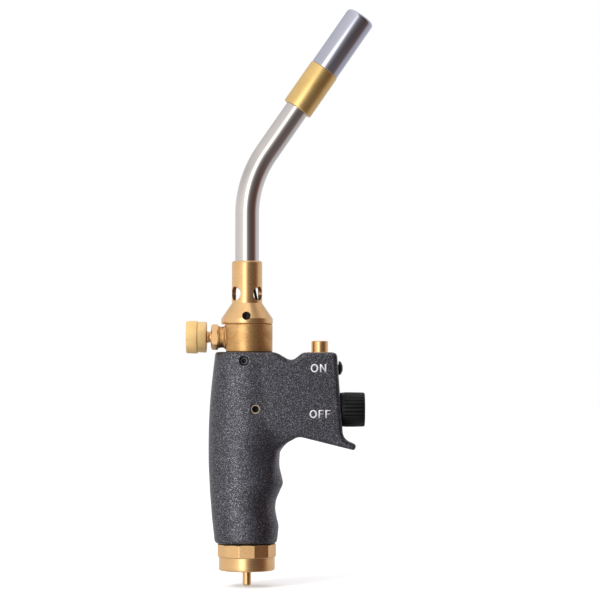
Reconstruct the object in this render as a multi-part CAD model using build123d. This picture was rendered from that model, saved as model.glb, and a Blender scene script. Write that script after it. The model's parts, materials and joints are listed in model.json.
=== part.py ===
from build123d import *
import os
from math import cos, pi, radians, sin, tan

# Hand torch that screws onto a disposable gas cylinder. Millimetres.
# The origin is the centre of the cylinder nut's mouth. +Z runs up along the grip and the burner
# tube's straight part, +X points to the lobe with the controls, and the burner bends towards +X.

# ---------------------------------------------------------------- driving dimensions
GAP = 0.03          # radial gap of pieces that are assembled and stay put
RUN = 0.05          # radial gap of pieces that turn or slide
FACE_GAP = 0.02     # gap between the end faces of neighbouring pieces
OVER = 1.0          # how far a cutter runs past the face that it opens
REACH = 30.0        # length of the cutters that leave through the handle's skin

# cylinder nut, for the 1 in - 20 thread of a gas cylinder
NUT_R = 16.0
NUT_SKIRT_TOP = 9.4
NUT_TOP = 16.6
NUT_FLATS = 33.2
NUT_SIDES = 12
NUT_TURN = 2.6      # degrees that the wrench flats are turned from facing -Y
NUT_CHAMFER = 0.8
THREAD_R = 12.1     # radius of the female thread's crests
THREAD_FLOOR = 11.3
HUB_R = 8.5
HUB_TOP = 30.0
HUB_RECESS_R = 5.0
HUB_RECESS_FLOOR = 22.0

# valve probe
PROBE_R = 2.45
PROBE_TIP = -7.2
PROBE_TIP_ROUND = 0.9
PROBE_HEX_FLATS = 8.0
PROBE_HEX_BOTTOM = 8.0
PROBE_THREAD_R = 4.0
PROBE_TOP = 20.0
PROBE_DRILL_R = 0.9

# seal, filter and riser
SEAL_BORE_R = 5.6
SEAL_THICK = 2.0
FILTER_THICK = 2.5
RISER_FLANGE_THICK = 2.5
RISER_R = 3.0
RISER_WALL = 1.0
RISER_END_GAP = 2.0     # gap under the floor of the valve block's socket

# handle casting
HANDLE_BOTTOM = 16.8
HANDLE_TOP = 125.9
# height, left x, right x and half depth of the grip's sections
GRIP_SECTIONS = [
    (HANDLE_BOTTOM, -17.0, 16.4, 15.9),
    (19.5, -18.4, 17.3, 16.4),
    (27.0, -19.2, 18.0, 16.8),
    (36.0, -20.2, 16.3, 16.9),
    (43.0, -20.8, 17.3, 17.0),
    (52.2, -21.3, 20.7, 17.1),
    (62.0, -21.8, 18.7, 17.1),
    (74.0, -21.9, 20.0, 17.0),
    (90.0, -21.5, 20.0, 16.9),
    (106.0, -20.2, 18.6, 16.6),
    (118.0, -19.0, 17.4, 16.4),
    (HANDLE_TOP, -17.9, 16.4, 16.2),
]
LOBE_HALF_DEPTH = 12.5
LOBE_EDGE = 0.9     # chamfer along the lobe's front and back
LOBE_EDGE_FROM_X = 18.0     # the chamfer starts here, outside the grip
LOBE_TOP = 125.8
# corners of the lobe's outline and the radius that rounds each one
LOBE_OUTLINE = [
    ((0.0, LOBE_TOP - 0.3), 0.0),
    ((15.9, LOBE_TOP - 0.3), 3.1),
    ((25.9, 119.6), 4.6),
    ((32.6, LOBE_TOP), 3.1),
    ((51.6, LOBE_TOP), 3.4),
    ((55.0, 76.0), 6.0),
    ((63.0, 73.0), 1.0),
    ((61.9, 69.8), 1.3),
    ((30.5, 77.4), 9.0),
    ((18.0, 68.0), 5.0),
    ((16.0, 56.0), 0.0),
    ((0.0, 56.0), 0.0),
]
BORE_R = 9.0        # central bore, open at the top
BORE_FLOOR = 80.0
RISER_BORE_R = 3.6
CORE_HALF_WIDTH = 2.2   # cored passage for the ignition lead
CORE_BOTTOM = 104.4
CORE_TOP = 115.0
SPOT_FACE_R = 4.4

# shut-off valve, its axis along +X
SHUTOFF_Z = 93.0
BLOCK_TOP = 104.0
BLOCK_CHAMBER_R = 2.6
BLOCK_SEAT_X = 1.0
BLOCK_RISER_DEPTH = 6.0
BLOCK_INLET_X = 1.9
BLOCK_DRILL_R = 1.0
BLOCK_SEAT_HOLE_R = 0.8
FEED_SOCKET_DEPTH = 6.0
BONNET_NOSE_R = 4.5
BONNET_NOSE_X = 4.0
BONNET_X = 9.5
BONNET_R = 5.5
BONNET_HEAD_X = 49.0
BONNET_HEAD_FLATS = 12.0
BONNET_HEAD_END_X = 50.8
BONNET_HEAD_POCKET_R = 7.6
WASHER_THICK = 1.2
WASHER_R = 2.3
SPINDLE_R = 2.5
SPINDLE_X = BLOCK_SEAT_X + FACE_GAP + WASHER_THICK
SPINDLE_END_X = 63.4
SPINDLE_TAP_DEPTH = 6.0
SPINDLE_GROOVE_X = 44.0
SPINDLE_RING_INNER_R = 1.7
RING_THICK = 1.6
KNOB_SCREW_R = 1.25
KNOB_SCREW_HEAD_R = 2.8
KNOB_SCREW_HEAD = 1.9
KNOB_SCREW_SOCKET = 2.0
KNOB_POCKET_R = 11.2
KNOB_POCKET_X = 50.9
KNOB_X = 52.5
KNOB_END_X = 67.4
KNOB_R = 9.9
KNOB_CORE_R = 9.2
KNOB_EDGE = 0.7
KNOB_RIBS = 28
KNOB_GROOVE_R = 0.5
KNOB_WEB = 1.0      # the moulding between the spindle's end and the screw's head
KNOB_SCREW_HOLE_R = 1.5
KNOB_RECESS_R = 4.5
HOLLOW_PIN_X = 5.2
HOLLOW_PIN_Z = 93.4
HOLLOW_PIN_R = 2.65
HOLLOW_PIN_BORE_R = 1.8
HOLLOW_PIN_FRONT_Y = -15.9
HOLLOW_PIN_BACK_Y = -6.05

# flame valve, its axis along -X
BODY_R = 14.6
BODY_RIM = 0.6
BODY_TOP = 141.7
BODY_FLAT_X = -11.7
SPIGOT_BOTTOM = 116.0
MIXER_SPIGOT_TOP = 148.0
FLAME_Z = 134.4
BOSS_R = 6.1
BOSS_FLARE_R = 7.2
BOSS_MID_R = 6.4        # halfway down the flare
BOSS_FLARE = 2.2        # length of the flare
BOSS_END_X = -16.3
GLAND_R = 5.0
GLAND_INNER_X = -9.0
GLAND_NOSE_X = -9.5
GLAND_TURN = -6.0
GLAND_EDGE = 0.7
FLAME_CHAMBER_END_X = -5.5
FLAME_ORIFICE_R = 1.1
BODY_DRILL_R = 1.0
BODY_OUTLET_R = 1.5
JET_THREAD_R = 3.0
JET_SEAT_Z = 143.2
GLAND_FLATS = 13.0
GLAND_END_X = -20.5
FLAME_STEM_R = 3.2
FLAME_STEM_INNER_X = -7.6
FLAME_STEM_OUTER_X = -31.0
FLAME_STEM_SHOULDER_X = -21.9
FLAME_STEM_EDGE = 0.3
NEEDLE_R = 2.0
NEEDLE_TIP_R = 0.12
NEEDLE_TIP_X = -3.7
FLAME_RING_X = -13.0
FLAME_RING_INNER_R = 2.2
FLAME_NECK_R = 2.0
FLAME_KNOB_R = 9.35
FLAME_KNOB_HUB_R = 8.7
FLAME_KNOB_STEP_X = -28.4
FLAME_KNOB_INNER_X = -23.1
FLAME_KNOB_OUTER_X = -34.7
FLAME_KNOB_EDGE = 0.5
FLAME_KNOB_RECESS_R = 3.3
FLAME_KNOB_RECESS = 2.2
FLAME_SCREW_HEAD = 1.8
FLAME_SCREW_SLOT = (1.0, 6.0, 0.7)      # depth, length and width
FEED_X = -6.2
FEED_R = 1.6
FEED_WALL = 0.6
FEED_END_GAP = 0.1
BODY_FEED_SOCKET = 5.0
LEAD_X = 6.2
LEAD_R = 0.8
LEAD_HOLE_R = 1.1
HANDLE_SCREW_X = -1.3
HANDLE_SCREW_Z = 120.7
HANDLE_SCREW_FRONT_Y = -14.0
SET_SCREW_R = 2.2
SET_SCREW_SOCKET = 2.0          # flats of the hexagon socket
SET_SCREW_SOCKET_DEPTH = 1.9

# mixer
MIXER_RIM_R = 14.8
MIXER_RIM_TOP = 144.6
MIXER_NECK_R = 8.7
MIXER_NECK_Z = 153.8
MIXER_TOP = 178.0
MIXER_EDGE = 0.5
MIXER_BORE_TOP = 149.5
MIXER_CONE_INSIDE_TOP = 157.0
MIXER_INSIDE_R = 6.3    # passage at the air holes, below the burner tube
AIR_HOLE_R = 4.0
AIR_HOLE_Z = 159.2
AIR_HOLE_REACH = 12.0
AIR_HOLE_ANGLES = [39, 141]     # degrees from +X; each cut goes through both sides
MIXER_SCREW_Z = 146.3
MIXER_SCREW_FRONT_Y = -13.0
JET_ROOT = 4.0
JET_FLATS = 7.0
JET_HEX = 3.0
JET_LENGTH = 6.5
JET_NOSE_R = 2.4
JET_TIP_R = 1.3
JET_BORE_R = 0.9
JET_ORIFICE_R = 0.3

# burner
TUBE_R = 6.85
TUBE_WALL = 1.0
TUBE_BOTTOM = 166.0
BEND_CORNER_Z = 224.1
BEND_ANGLE = 34.7
BEND_R = 62.0
TUBE_END = 63.4         # distances along the burner's axis, from the bend's corner
COUPLING_START = 50.5
COUPLING_STOP = 67.4
COUPLING_END = 77.8
COUPLING_R = 8.9
COUPLING_EDGE = 0.5
TIP_END = 115.4
TIP_R = 8.6
TIP_WALL = 1.0
TIP_ROUND = 2.2
TIP_LIP = 3.0
TIP_MOUTH_R = 6.0
TIP_SPIGOT_R = 7.0
TIP_SPIGOT_START = 67.6
HOLDER_START = 82.4
HOLDER_END = 86.4
HOLDER_HOLES = 8
HOLDER_HOLE_R = 1.4
HOLDER_RING_R = 4.9
INSULATOR_R = 2.0
INSULATOR_START = 78.4
INSULATOR_END = 98.4
ROD_R = 0.6
ROD_END = 104.4
LEAD_END = 77.4
LEAD_Z = 106.0          # height of the lead where it leaves the igniter
LEAD_TURN_Z = 152.0     # heights where the lead changes direction above the handle
LEAD_CENTRED_Z = 176.0
LEAD_CENTRED_X = 1.2
LEAD_BENDS = [7.5, 30.0, 60.0, BEND_R]

# igniter, its axis along Z
IGNITER_X = 42.0
POCKET_R = 7.2
POCKET_FLOOR = 101.0
IGNITER_BODY_TOP = 112.3
IGNITER_BASE = 0.8
SPRING_FLOOR = 104.0
SPRING_INNER_R = 3.6
SPRING_OUTER_R = 6.0
SPRING_WIRE_R = 0.4
SPRING_MEAN_R = 4.8
SPRING_TURNS = 6
PLUNGER_R = 2.5
PLUNGER_RUN = 0.1
PLUNGER_BOTTOM = 106.2
BUTTON_R = 4.95
BUTTON_TOP = 132.3
BUTTON_CROWN = 0.9
BUTTON_FLANGE_R = 6.2
BUTTON_FLANGE_BOTTOM = 117.0
BUTTON_FLANGE_TOP = 119.4
BUSH_SHOULDER = 119.5
IGNITER_SCREW_Z = 116.7
IGNITER_SCREW_X = 52.4
IGNITER_SCREW_HEAD_R = 4.0
IGNITER_SCREW_HEAD = 2.4
IGNITER_SCREW_SOCKET = 2.5
IGNITER_SCREW_R = 2.0


# ---------------------------------------------------------------- helpers
def rod_z(radius, start, end, x=0.0, y=0.0):
    """Cylinder along +Z."""
    return Pos(x, y, start) * Cylinder(radius, end - start, align=(Align.CENTER, Align.CENTER, Align.MIN))


def rod_x(radius, start, end, z, y=0.0):
    """Cylinder along +X."""
    upright = Cylinder(radius, end - start, align=(Align.CENTER, Align.CENTER, Align.MIN))
    return Location((start, y, z), (0, 90, 0)) * upright


def rod_y(radius, start, end, x, z):
    """Cylinder along +Y."""
    upright = Cylinder(radius, end - start, align=(Align.CENTER, Align.CENTER, Align.MIN))
    return Location((x, start, z), (-90, 0, 0)) * upright


def turned(outline):
    """Solid turned about Z from (radius, height) points."""
    face = make_face(Polyline([(r, 0, z) for r, z in outline], close=True))
    return revolve(face, Axis.Z)


def on_x(solid, z):
    """Lays a solid that was turned about Z along +X, at height z."""
    return Location((0, 0, z), (0, 90, 0)) * solid


def prism_z(flats, sides, start, end, turn=0.0):
    """Regular prism along +Z with a given size across its flats."""
    outline = RegularPolygon(flats / 2, sides, major_radius=False, rotation=turn)
    return extrude(Pos(0, 0, start) * outline, end - start)


def on_burner(solid):
    """Places a solid built along Z onto the burner's slanted axis, with z = 0 at the bend's corner."""
    return Location((0, 0, BEND_CORNER_Z), (0, BEND_ANGLE, 0)) * solid


def burner_point(distance):
    """Point on the burner's slanted axis at a distance from the bend's corner."""
    slant = radians(BEND_ANGLE)
    return (distance * sin(slant), 0.0, BEND_CORNER_Z + distance * cos(slant))


def hex_socket_y(flats, start, end, x, z):
    """Hexagonal pocket along +Y."""
    pocket = prism_z(flats, 6, 0, end - start)
    return Location((x, start, z), (-90, 0, 0)) * pocket


# ---------------------------------------------------------------- inlet
def cylinder_nut():
    skirt = turned([
        (0, 0), (NUT_R - NUT_CHAMFER, 0), (NUT_R, NUT_CHAMFER), (NUT_R, NUT_SKIRT_TOP), (0, NUT_SKIRT_TOP),
    ])
    corner_r = NUT_FLATS / 2 / cos(pi / NUT_SIDES)
    turn = 180 / NUT_SIDES + NUT_TURN
    wrench = prism_z(NUT_FLATS, NUT_SIDES, NUT_SKIRT_TOP, NUT_TOP, turn)
    rounding = turned([
        (0, NUT_SKIRT_TOP), (corner_r - NUT_CHAMFER, NUT_SKIRT_TOP), (corner_r, NUT_SKIRT_TOP + NUT_CHAMFER),
        (corner_r, NUT_TOP - NUT_CHAMFER), (corner_r - NUT_CHAMFER, NUT_TOP), (0, NUT_TOP),
    ])
    body = skirt + (wrench & rounding) + rod_z(HUB_R, NUT_TOP, HUB_TOP)
    mouth = turned([(0, 0), (THREAD_R + NUT_CHAMFER, 0), (THREAD_R, NUT_CHAMFER), (0, NUT_CHAMFER)])
    body -= mouth
    body -= rod_z(THREAD_R, 0, THREAD_FLOOR)
    body -= rod_z(PROBE_THREAD_R + GAP, THREAD_FLOOR, HUB_RECESS_FLOOR)
    return body - rod_z(HUB_RECESS_R, HUB_RECESS_FLOOR, HUB_TOP)


def valve_probe():
    pin = turned([
        (0, PROBE_TIP), (PROBE_R - PROBE_TIP_ROUND, PROBE_TIP), (PROBE_R, PROBE_TIP + PROBE_TIP_ROUND),
        (PROBE_R, PROBE_HEX_BOTTOM), (0, PROBE_HEX_BOTTOM),
    ])
    flange = prism_z(PROBE_HEX_FLATS, 6, PROBE_HEX_BOTTOM, THREAD_FLOOR)
    thread = rod_z(PROBE_THREAD_R, THREAD_FLOOR, PROBE_TOP)
    return pin + flange + thread - rod_z(PROBE_DRILL_R, PROBE_TIP, PROBE_TOP)


def cylinder_seal():
    bottom = THREAD_FLOOR - SEAL_THICK
    return rod_z(THREAD_R - GAP, bottom, THREAD_FLOOR) - rod_z(SEAL_BORE_R, bottom, THREAD_FLOOR)


def inlet_filter():
    return rod_z(HUB_RECESS_R - GAP, HUB_RECESS_FLOOR, HUB_RECESS_FLOOR + FILTER_THICK)


def riser_tube():
    bottom = HUB_RECESS_FLOOR + FILTER_THICK
    top = BORE_FLOOR + BLOCK_RISER_DEPTH - RISER_END_GAP
    flange = rod_z(HUB_RECESS_R - GAP, bottom, bottom + RISER_FLANGE_THICK)
    return flange + rod_z(RISER_R, bottom, top) - rod_z(RISER_R - RISER_WALL, bottom, top)


# ---------------------------------------------------------------- handle
def grip():
    sections = []
    for height, left, right, half_depth in GRIP_SECTIONS:
        outline = Ellipse((right - left) / 2, half_depth)
        sections.append(Pos((left + right) / 2, 0, height) * outline)
    return loft(sections)


def lobe():
    points = [(x, 0, z) for (x, z), _ in LOBE_OUTLINE]
    radii = [r for _, r in LOBE_OUTLINE]
    face = make_face(FilletPolyline(*points, radius=radii, close=True))
    plate = extrude(face, LOBE_HALF_DEPTH, dir=(0, 1, 0), both=True)
    front_and_back = plate.faces().filter_by(Axis.Y).edges()
    long_edges = [e for e in front_and_back if e.center().X > LOBE_EDGE_FROM_X]
    return chamfer(long_edges, LOBE_EDGE)


def handle_casting():
    body = grip() + lobe()
    body -= rod_z(HUB_R + GAP, HANDLE_BOTTOM - OVER, HUB_TOP)
    body -= rod_z(RISER_BORE_R, HUB_TOP, BORE_FLOOR)
    body -= rod_z(BORE_R, BORE_FLOOR, HANDLE_TOP + OVER)
    body -= rod_x(BONNET_R + GAP, 0, BONNET_HEAD_X + OVER, SHUTOFF_Z)
    body -= rod_x(BONNET_HEAD_POCKET_R, BONNET_HEAD_X, KNOB_POCKET_X + OVER, SHUTOFF_Z)
    body -= rod_x(KNOB_POCKET_R, KNOB_POCKET_X, KNOB_POCKET_X + REACH, SHUTOFF_Z)
    body -= rod_y(HOLLOW_PIN_R, -REACH, 0, HOLLOW_PIN_X, HOLLOW_PIN_Z)
    body -= rod_y(SET_SCREW_R + GAP, -REACH, 0, HANDLE_SCREW_X, HANDLE_SCREW_Z)
    body -= rod_z(POCKET_R, POCKET_FLOOR, HANDLE_TOP + OVER, IGNITER_X)
    body -= rod_x(IGNITER_SCREW_R + GAP, IGNITER_X, IGNITER_X + REACH, IGNITER_SCREW_Z)
    body -= rod_x(SPOT_FACE_R, IGNITER_SCREW_X, IGNITER_X + REACH, IGNITER_SCREW_Z)
    corner = (Align.MIN, Align.CENTER, Align.MIN)
    passage = Box(IGNITER_X, 2 * CORE_HALF_WIDTH, CORE_TOP - CORE_BOTTOM, align=corner)
    return body - Pos(0, 0, CORE_BOTTOM) * passage


# ---------------------------------------------------------------- shut-off valve
def shutoff_block():
    riser_end = BORE_FLOOR + BLOCK_RISER_DEPTH
    body = rod_z(BORE_R - GAP, BORE_FLOOR, BLOCK_TOP)
    body -= rod_z(RISER_R + GAP, BORE_FLOOR, riser_end)
    body -= rod_z(BLOCK_DRILL_R, riser_end, SHUTOFF_Z, BLOCK_INLET_X)
    body -= rod_x(BLOCK_CHAMBER_R, BLOCK_SEAT_X, BORE_R, SHUTOFF_Z)
    body -= rod_x(BONNET_NOSE_R, BONNET_NOSE_X, BORE_R + OVER, SHUTOFF_Z)
    body -= rod_x(BLOCK_SEAT_HOLE_R, FEED_X, BLOCK_SEAT_X, SHUTOFF_Z)
    body -= rod_z(BLOCK_DRILL_R, SHUTOFF_Z, BLOCK_TOP, FEED_X)
    body -= rod_z(FEED_R + GAP, BLOCK_TOP - FEED_SOCKET_DEPTH, BLOCK_TOP, FEED_X)
    pin_floor = HOLLOW_PIN_BACK_Y + FACE_GAP
    return body - rod_y(HOLLOW_PIN_R, -BORE_R - OVER, pin_floor, HOLLOW_PIN_X, HOLLOW_PIN_Z)


def hollow_pin():
    front, back = HOLLOW_PIN_FRONT_Y, HOLLOW_PIN_BACK_Y
    pin = rod_y(HOLLOW_PIN_R - GAP, front, back, HOLLOW_PIN_X, HOLLOW_PIN_Z)
    return pin - rod_y(HOLLOW_PIN_BORE_R, front, back, HOLLOW_PIN_X, HOLLOW_PIN_Z)


def valve_bonnet():
    body = rod_x(BONNET_NOSE_R - GAP, BONNET_NOSE_X, BONNET_X, SHUTOFF_Z)
    body += rod_x(BONNET_R, BONNET_X, BONNET_HEAD_X, SHUTOFF_Z)
    body += on_x(prism_z(BONNET_HEAD_FLATS, 6, BONNET_HEAD_X, BONNET_HEAD_END_X), SHUTOFF_Z)
    return body - rod_x(SPINDLE_R + RUN, BONNET_NOSE_X, KNOB_POCKET_X, SHUTOFF_Z)


def ring_x(inner, outer, start, end, z):
    """Ring along +X."""
    return rod_x(outer, start, end, z) - rod_x(inner, start, end, z)


def shutoff_washer():
    return rod_x(WASHER_R, SPINDLE_X - WASHER_THICK, SPINDLE_X, SHUTOFF_Z)


def shutoff_spindle():
    groove_end = SPINDLE_GROOVE_X + RING_THICK
    body = rod_x(SPINDLE_R, SPINDLE_X, SPINDLE_END_X, SHUTOFF_Z)
    body -= ring_x(SPINDLE_RING_INNER_R, SPINDLE_R + OVER, SPINDLE_GROOVE_X, groove_end, SHUTOFF_Z)
    return body - rod_x(KNOB_SCREW_R, SPINDLE_END_X - SPINDLE_TAP_DEPTH, SPINDLE_END_X, SHUTOFF_Z)


def spindle_o_ring():
    start = SPINDLE_GROOVE_X + RUN
    end = SPINDLE_GROOVE_X + RING_THICK - RUN
    return ring_x(SPINDLE_RING_INNER_R + FACE_GAP, SPINDLE_R + RUN / 2, start, end, SHUTOFF_Z)


def shutoff_knob():
    outline = Circle(KNOB_R)
    for i in range(KNOB_RIBS):
        angle = 2 * pi * (i + 0.5) / KNOB_RIBS
        outline -= Pos(KNOB_R * cos(angle), KNOB_R * sin(angle)) * Circle(KNOB_GROOVE_R)
    ribbed = extrude(Pos(0, 0, KNOB_X + KNOB_EDGE) * outline, KNOB_END_X - KNOB_X - 2 * KNOB_EDGE)
    body = ribbed + rod_z(KNOB_CORE_R, KNOB_X, KNOB_END_X)
    body -= rod_z(SPINDLE_R + GAP, KNOB_X, SPINDLE_END_X)
    body -= rod_z(KNOB_SCREW_HOLE_R, SPINDLE_END_X, KNOB_END_X)
    body -= rod_z(KNOB_RECESS_R, SPINDLE_END_X + KNOB_WEB, KNOB_END_X)
    return on_x(body, SHUTOFF_Z)


def shutoff_knob_screw():
    head = SPINDLE_END_X + KNOB_WEB
    head_end = head + KNOB_SCREW_HEAD
    socket_floor = head + KNOB_SCREW_HEAD / 3
    screw = rod_x(KNOB_SCREW_HEAD_R, head, head_end, SHUTOFF_Z)
    screw += rod_x(KNOB_SCREW_R - FACE_GAP, head - SPINDLE_TAP_DEPTH, head, SHUTOFF_Z)
    return screw - on_x(prism_z(KNOB_SCREW_SOCKET, 6, socket_floor, head_end), SHUTOFF_Z)


# ---------------------------------------------------------------- flame valve
def flame_valve_body():
    body = turned([
        (0, HANDLE_TOP), (BODY_R - BODY_RIM, HANDLE_TOP), (BODY_R, HANDLE_TOP + BODY_RIM),
        (BODY_R, BODY_TOP - BODY_RIM), (BODY_R - BODY_RIM, BODY_TOP), (0, BODY_TOP),
    ])
    body += rod_z(BORE_R - GAP, SPIGOT_BOTTOM, HANDLE_TOP)
    body += rod_z(BORE_R - GAP, BODY_TOP, MIXER_SPIGOT_TOP)
    # the round body has one flat side, and the boss flares where it meets that flat
    flat_cut = Box(BODY_R, 3 * BODY_R, BODY_TOP - HANDLE_TOP, align=(Align.MAX, Align.CENTER, Align.MIN))
    body -= Pos(BODY_FLAT_X, 0, HANDLE_TOP) * flat_cut
    boss = turned([
        (0, 0), (BOSS_FLARE_R, 0), (BOSS_FLARE_R, BODY_FLAT_X), (BOSS_MID_R, BODY_FLAT_X - BOSS_FLARE / 2),
        (BOSS_R, BODY_FLAT_X - BOSS_FLARE), (BOSS_R, BOSS_END_X), (0, BOSS_END_X),
    ])
    body += on_x(boss, FLAME_Z)
    body -= rod_x(GLAND_R, BOSS_END_X, GLAND_INNER_X, FLAME_Z)
    body -= rod_x(FLAME_STEM_R + RUN, GLAND_INNER_X, FLAME_CHAMBER_END_X, FLAME_Z)
    body -= rod_x(FLAME_ORIFICE_R, FLAME_CHAMBER_END_X, 0, FLAME_Z)
    body -= rod_z(FEED_R + GAP, SPIGOT_BOTTOM, SPIGOT_BOTTOM + BODY_FEED_SOCKET, FEED_X)
    body -= rod_z(BODY_DRILL_R, SPIGOT_BOTTOM, FLAME_Z, FEED_X)
    body -= rod_z(BODY_OUTLET_R, FLAME_Z, MIXER_SPIGOT_TOP)
    body -= rod_z(JET_THREAD_R, JET_SEAT_Z, MIXER_SPIGOT_TOP)
    return body - rod_z(LEAD_HOLE_R, SPIGOT_BOTTOM, MIXER_SPIGOT_TOP, LEAD_X)


def feed_tube():
    start = BLOCK_TOP - FEED_SOCKET_DEPTH + FEED_END_GAP
    end = SPIGOT_BOTTOM + BODY_FEED_SOCKET - FEED_END_GAP
    return rod_z(FEED_R, start, end, FEED_X) - rod_z(FEED_R - FEED_WALL, start, end, FEED_X)


def set_screw(front, x, z):
    """Set screw along Y whose point meets the central spigot, with its hexagon socket at the front."""
    screw = rod_y(SET_SCREW_R, front, -BORE_R - FACE_GAP, x, z)
    return screw - hex_socket_y(SET_SCREW_SOCKET, front, front + SET_SCREW_SOCKET_DEPTH, x, z)


def handle_grub_screw():
    return set_screw(HANDLE_SCREW_FRONT_Y, HANDLE_SCREW_X, HANDLE_SCREW_Z)


def flame_gland_nut():
    corner_r = GLAND_FLATS / 2 / cos(pi / 6)
    half_edge = GLAND_EDGE / 2
    nut = prism_z(GLAND_FLATS, 6, GLAND_END_X, BOSS_END_X, GLAND_TURN)
    nut &= turned([
        (0, GLAND_END_X), (corner_r - GLAND_EDGE, GLAND_END_X), (corner_r, GLAND_END_X + GLAND_EDGE),
        (corner_r, BOSS_END_X - half_edge), (corner_r - half_edge, BOSS_END_X), (0, BOSS_END_X),
    ])
    nut += rod_z(GLAND_R - GAP, BOSS_END_X, GLAND_NOSE_X)
    return on_x(nut - rod_z(FLAME_STEM_R + RUN, GLAND_END_X - OVER, GLAND_INNER_X), FLAME_Z)


def flame_stem():
    shoulder = FLAME_STEM_SHOULDER_X
    groove_end = FLAME_RING_X + RING_THICK
    tap_end = FLAME_STEM_OUTER_X + SPINDLE_TAP_DEPTH
    stem = turned([
        (0, FLAME_STEM_OUTER_X), (FLAME_NECK_R, FLAME_STEM_OUTER_X), (FLAME_NECK_R, shoulder),
        (FLAME_STEM_R, shoulder + FLAME_STEM_EDGE), (FLAME_STEM_R, FLAME_RING_X), (FLAME_RING_INNER_R, FLAME_RING_X),
        (FLAME_RING_INNER_R, groove_end), (FLAME_STEM_R, groove_end), (FLAME_STEM_R, FLAME_STEM_INNER_X),
        (NEEDLE_R, FLAME_STEM_INNER_X), (NEEDLE_TIP_R, NEEDLE_TIP_X), (0, NEEDLE_TIP_X),
    ])
    return on_x(stem - rod_z(KNOB_SCREW_R, FLAME_STEM_OUTER_X, tap_end), FLAME_Z)


def flame_o_ring():
    start = FLAME_RING_X + RUN
    end = FLAME_RING_X + RING_THICK - RUN
    return ring_x(FLAME_RING_INNER_R + FACE_GAP, FLAME_STEM_R + RUN / 2, start, end, FLAME_Z)


def flame_knob():
    edge = FLAME_KNOB_EDGE
    recess_end = FLAME_KNOB_OUTER_X + FLAME_KNOB_RECESS
    knob = turned([
        (0, FLAME_KNOB_OUTER_X), (FLAME_KNOB_R - edge, FLAME_KNOB_OUTER_X),
        (FLAME_KNOB_R, FLAME_KNOB_OUTER_X + edge), (FLAME_KNOB_R, FLAME_KNOB_STEP_X - edge / 2),
        (FLAME_KNOB_HUB_R, FLAME_KNOB_STEP_X), (FLAME_KNOB_HUB_R, FLAME_KNOB_INNER_X - edge),
        (FLAME_KNOB_HUB_R - edge, FLAME_KNOB_INNER_X), (0, FLAME_KNOB_INNER_X),
    ])
    knob -= rod_z(FLAME_NECK_R + GAP, FLAME_STEM_OUTER_X, FLAME_KNOB_INNER_X)
    knob -= rod_z(KNOB_SCREW_HOLE_R, FLAME_KNOB_OUTER_X, FLAME_STEM_OUTER_X)
    return on_x(knob - rod_z(FLAME_KNOB_RECESS_R, FLAME_KNOB_OUTER_X, recess_end), FLAME_Z)


def flame_knob_screw():
    seat = FLAME_KNOB_OUTER_X + FLAME_KNOB_RECESS
    face = seat - FLAME_SCREW_HEAD
    shank_end = FLAME_STEM_OUTER_X + SPINDLE_TAP_DEPTH - OVER
    screw = rod_x(KNOB_SCREW_HEAD_R, face, seat, FLAME_Z)
    screw += rod_x(KNOB_SCREW_R - FACE_GAP, seat, shank_end, FLAME_Z)
    slot = Box(*FLAME_SCREW_SLOT, align=(Align.MIN, Align.CENTER, Align.CENTER))
    return screw - Pos(face, 0, FLAME_Z) * slot


# ---------------------------------------------------------------- mixer
def jet_nozzle():
    seat = MIXER_SPIGOT_TOP
    root = seat - JET_ROOT
    hexagon_top = seat + JET_HEX
    tip = seat + JET_LENGTH
    orifice = tip - 1.0
    jet = rod_z(JET_THREAD_R - GAP, root, seat)
    jet += prism_z(JET_FLATS, 6, seat, hexagon_top)
    jet += turned([(0, hexagon_top), (JET_NOSE_R, hexagon_top), (JET_TIP_R, tip), (0, tip)])
    return jet - rod_z(JET_BORE_R, root, orifice) - rod_z(JET_ORIFICE_R, orifice, tip)


def mixer_cone():
    edge = MIXER_EDGE
    socket_r = TUBE_R + GAP
    socket_floor = TUBE_BOTTOM - FACE_GAP
    cone = turned([
        (0, BODY_TOP), (MIXER_RIM_R - edge, BODY_TOP), (MIXER_RIM_R, BODY_TOP + edge),
        (MIXER_RIM_R, MIXER_RIM_TOP), (MIXER_NECK_R, MIXER_NECK_Z), (MIXER_NECK_R, MIXER_TOP - edge),
        (MIXER_NECK_R - edge, MIXER_TOP), (0, MIXER_TOP),
    ])
    cone -= turned([
        (0, BODY_TOP), (BORE_R, BODY_TOP), (BORE_R, MIXER_BORE_TOP), (MIXER_INSIDE_R, MIXER_CONE_INSIDE_TOP),
        (MIXER_INSIDE_R, socket_floor), (socket_r, socket_floor), (socket_r, MIXER_TOP), (0, MIXER_TOP),
    ])
    for angle in AIR_HOLE_ANGLES:
        across = rod_x(AIR_HOLE_R, -AIR_HOLE_REACH, AIR_HOLE_REACH, 0)
        cone -= Location((0, 0, AIR_HOLE_Z), (0, 0, angle)) * across
    return cone - rod_y(SET_SCREW_R + GAP, -REACH, -BORE_R + OVER, 0, MIXER_SCREW_Z)


def mixer_grub_screw():
    return set_screw(MIXER_SCREW_FRONT_Y, 0, MIXER_SCREW_Z)


# ---------------------------------------------------------------- burner
def burner_path():
    tangent = BEND_R * tan(radians(BEND_ANGLE / 2))
    start = (0, 0, TUBE_BOTTOM)
    bend_start = (0, 0, BEND_CORNER_Z - tangent)
    straight = Line(start, bend_start)
    half = radians(BEND_ANGLE / 2)
    centre = (BEND_R, BEND_CORNER_Z - tangent)
    middle = (centre[0] - BEND_R * cos(half), 0, centre[1] + BEND_R * sin(half))
    bend = ThreePointArc(bend_start, middle, burner_point(tangent))
    return straight + bend + Line(burner_point(tangent), burner_point(TUBE_END))


def burner_tube():
    section = Plane.XY.offset(TUBE_BOTTOM) * (Circle(TUBE_R) - Circle(TUBE_R - TUBE_WALL))
    return sweep(section, path=burner_path())


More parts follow.
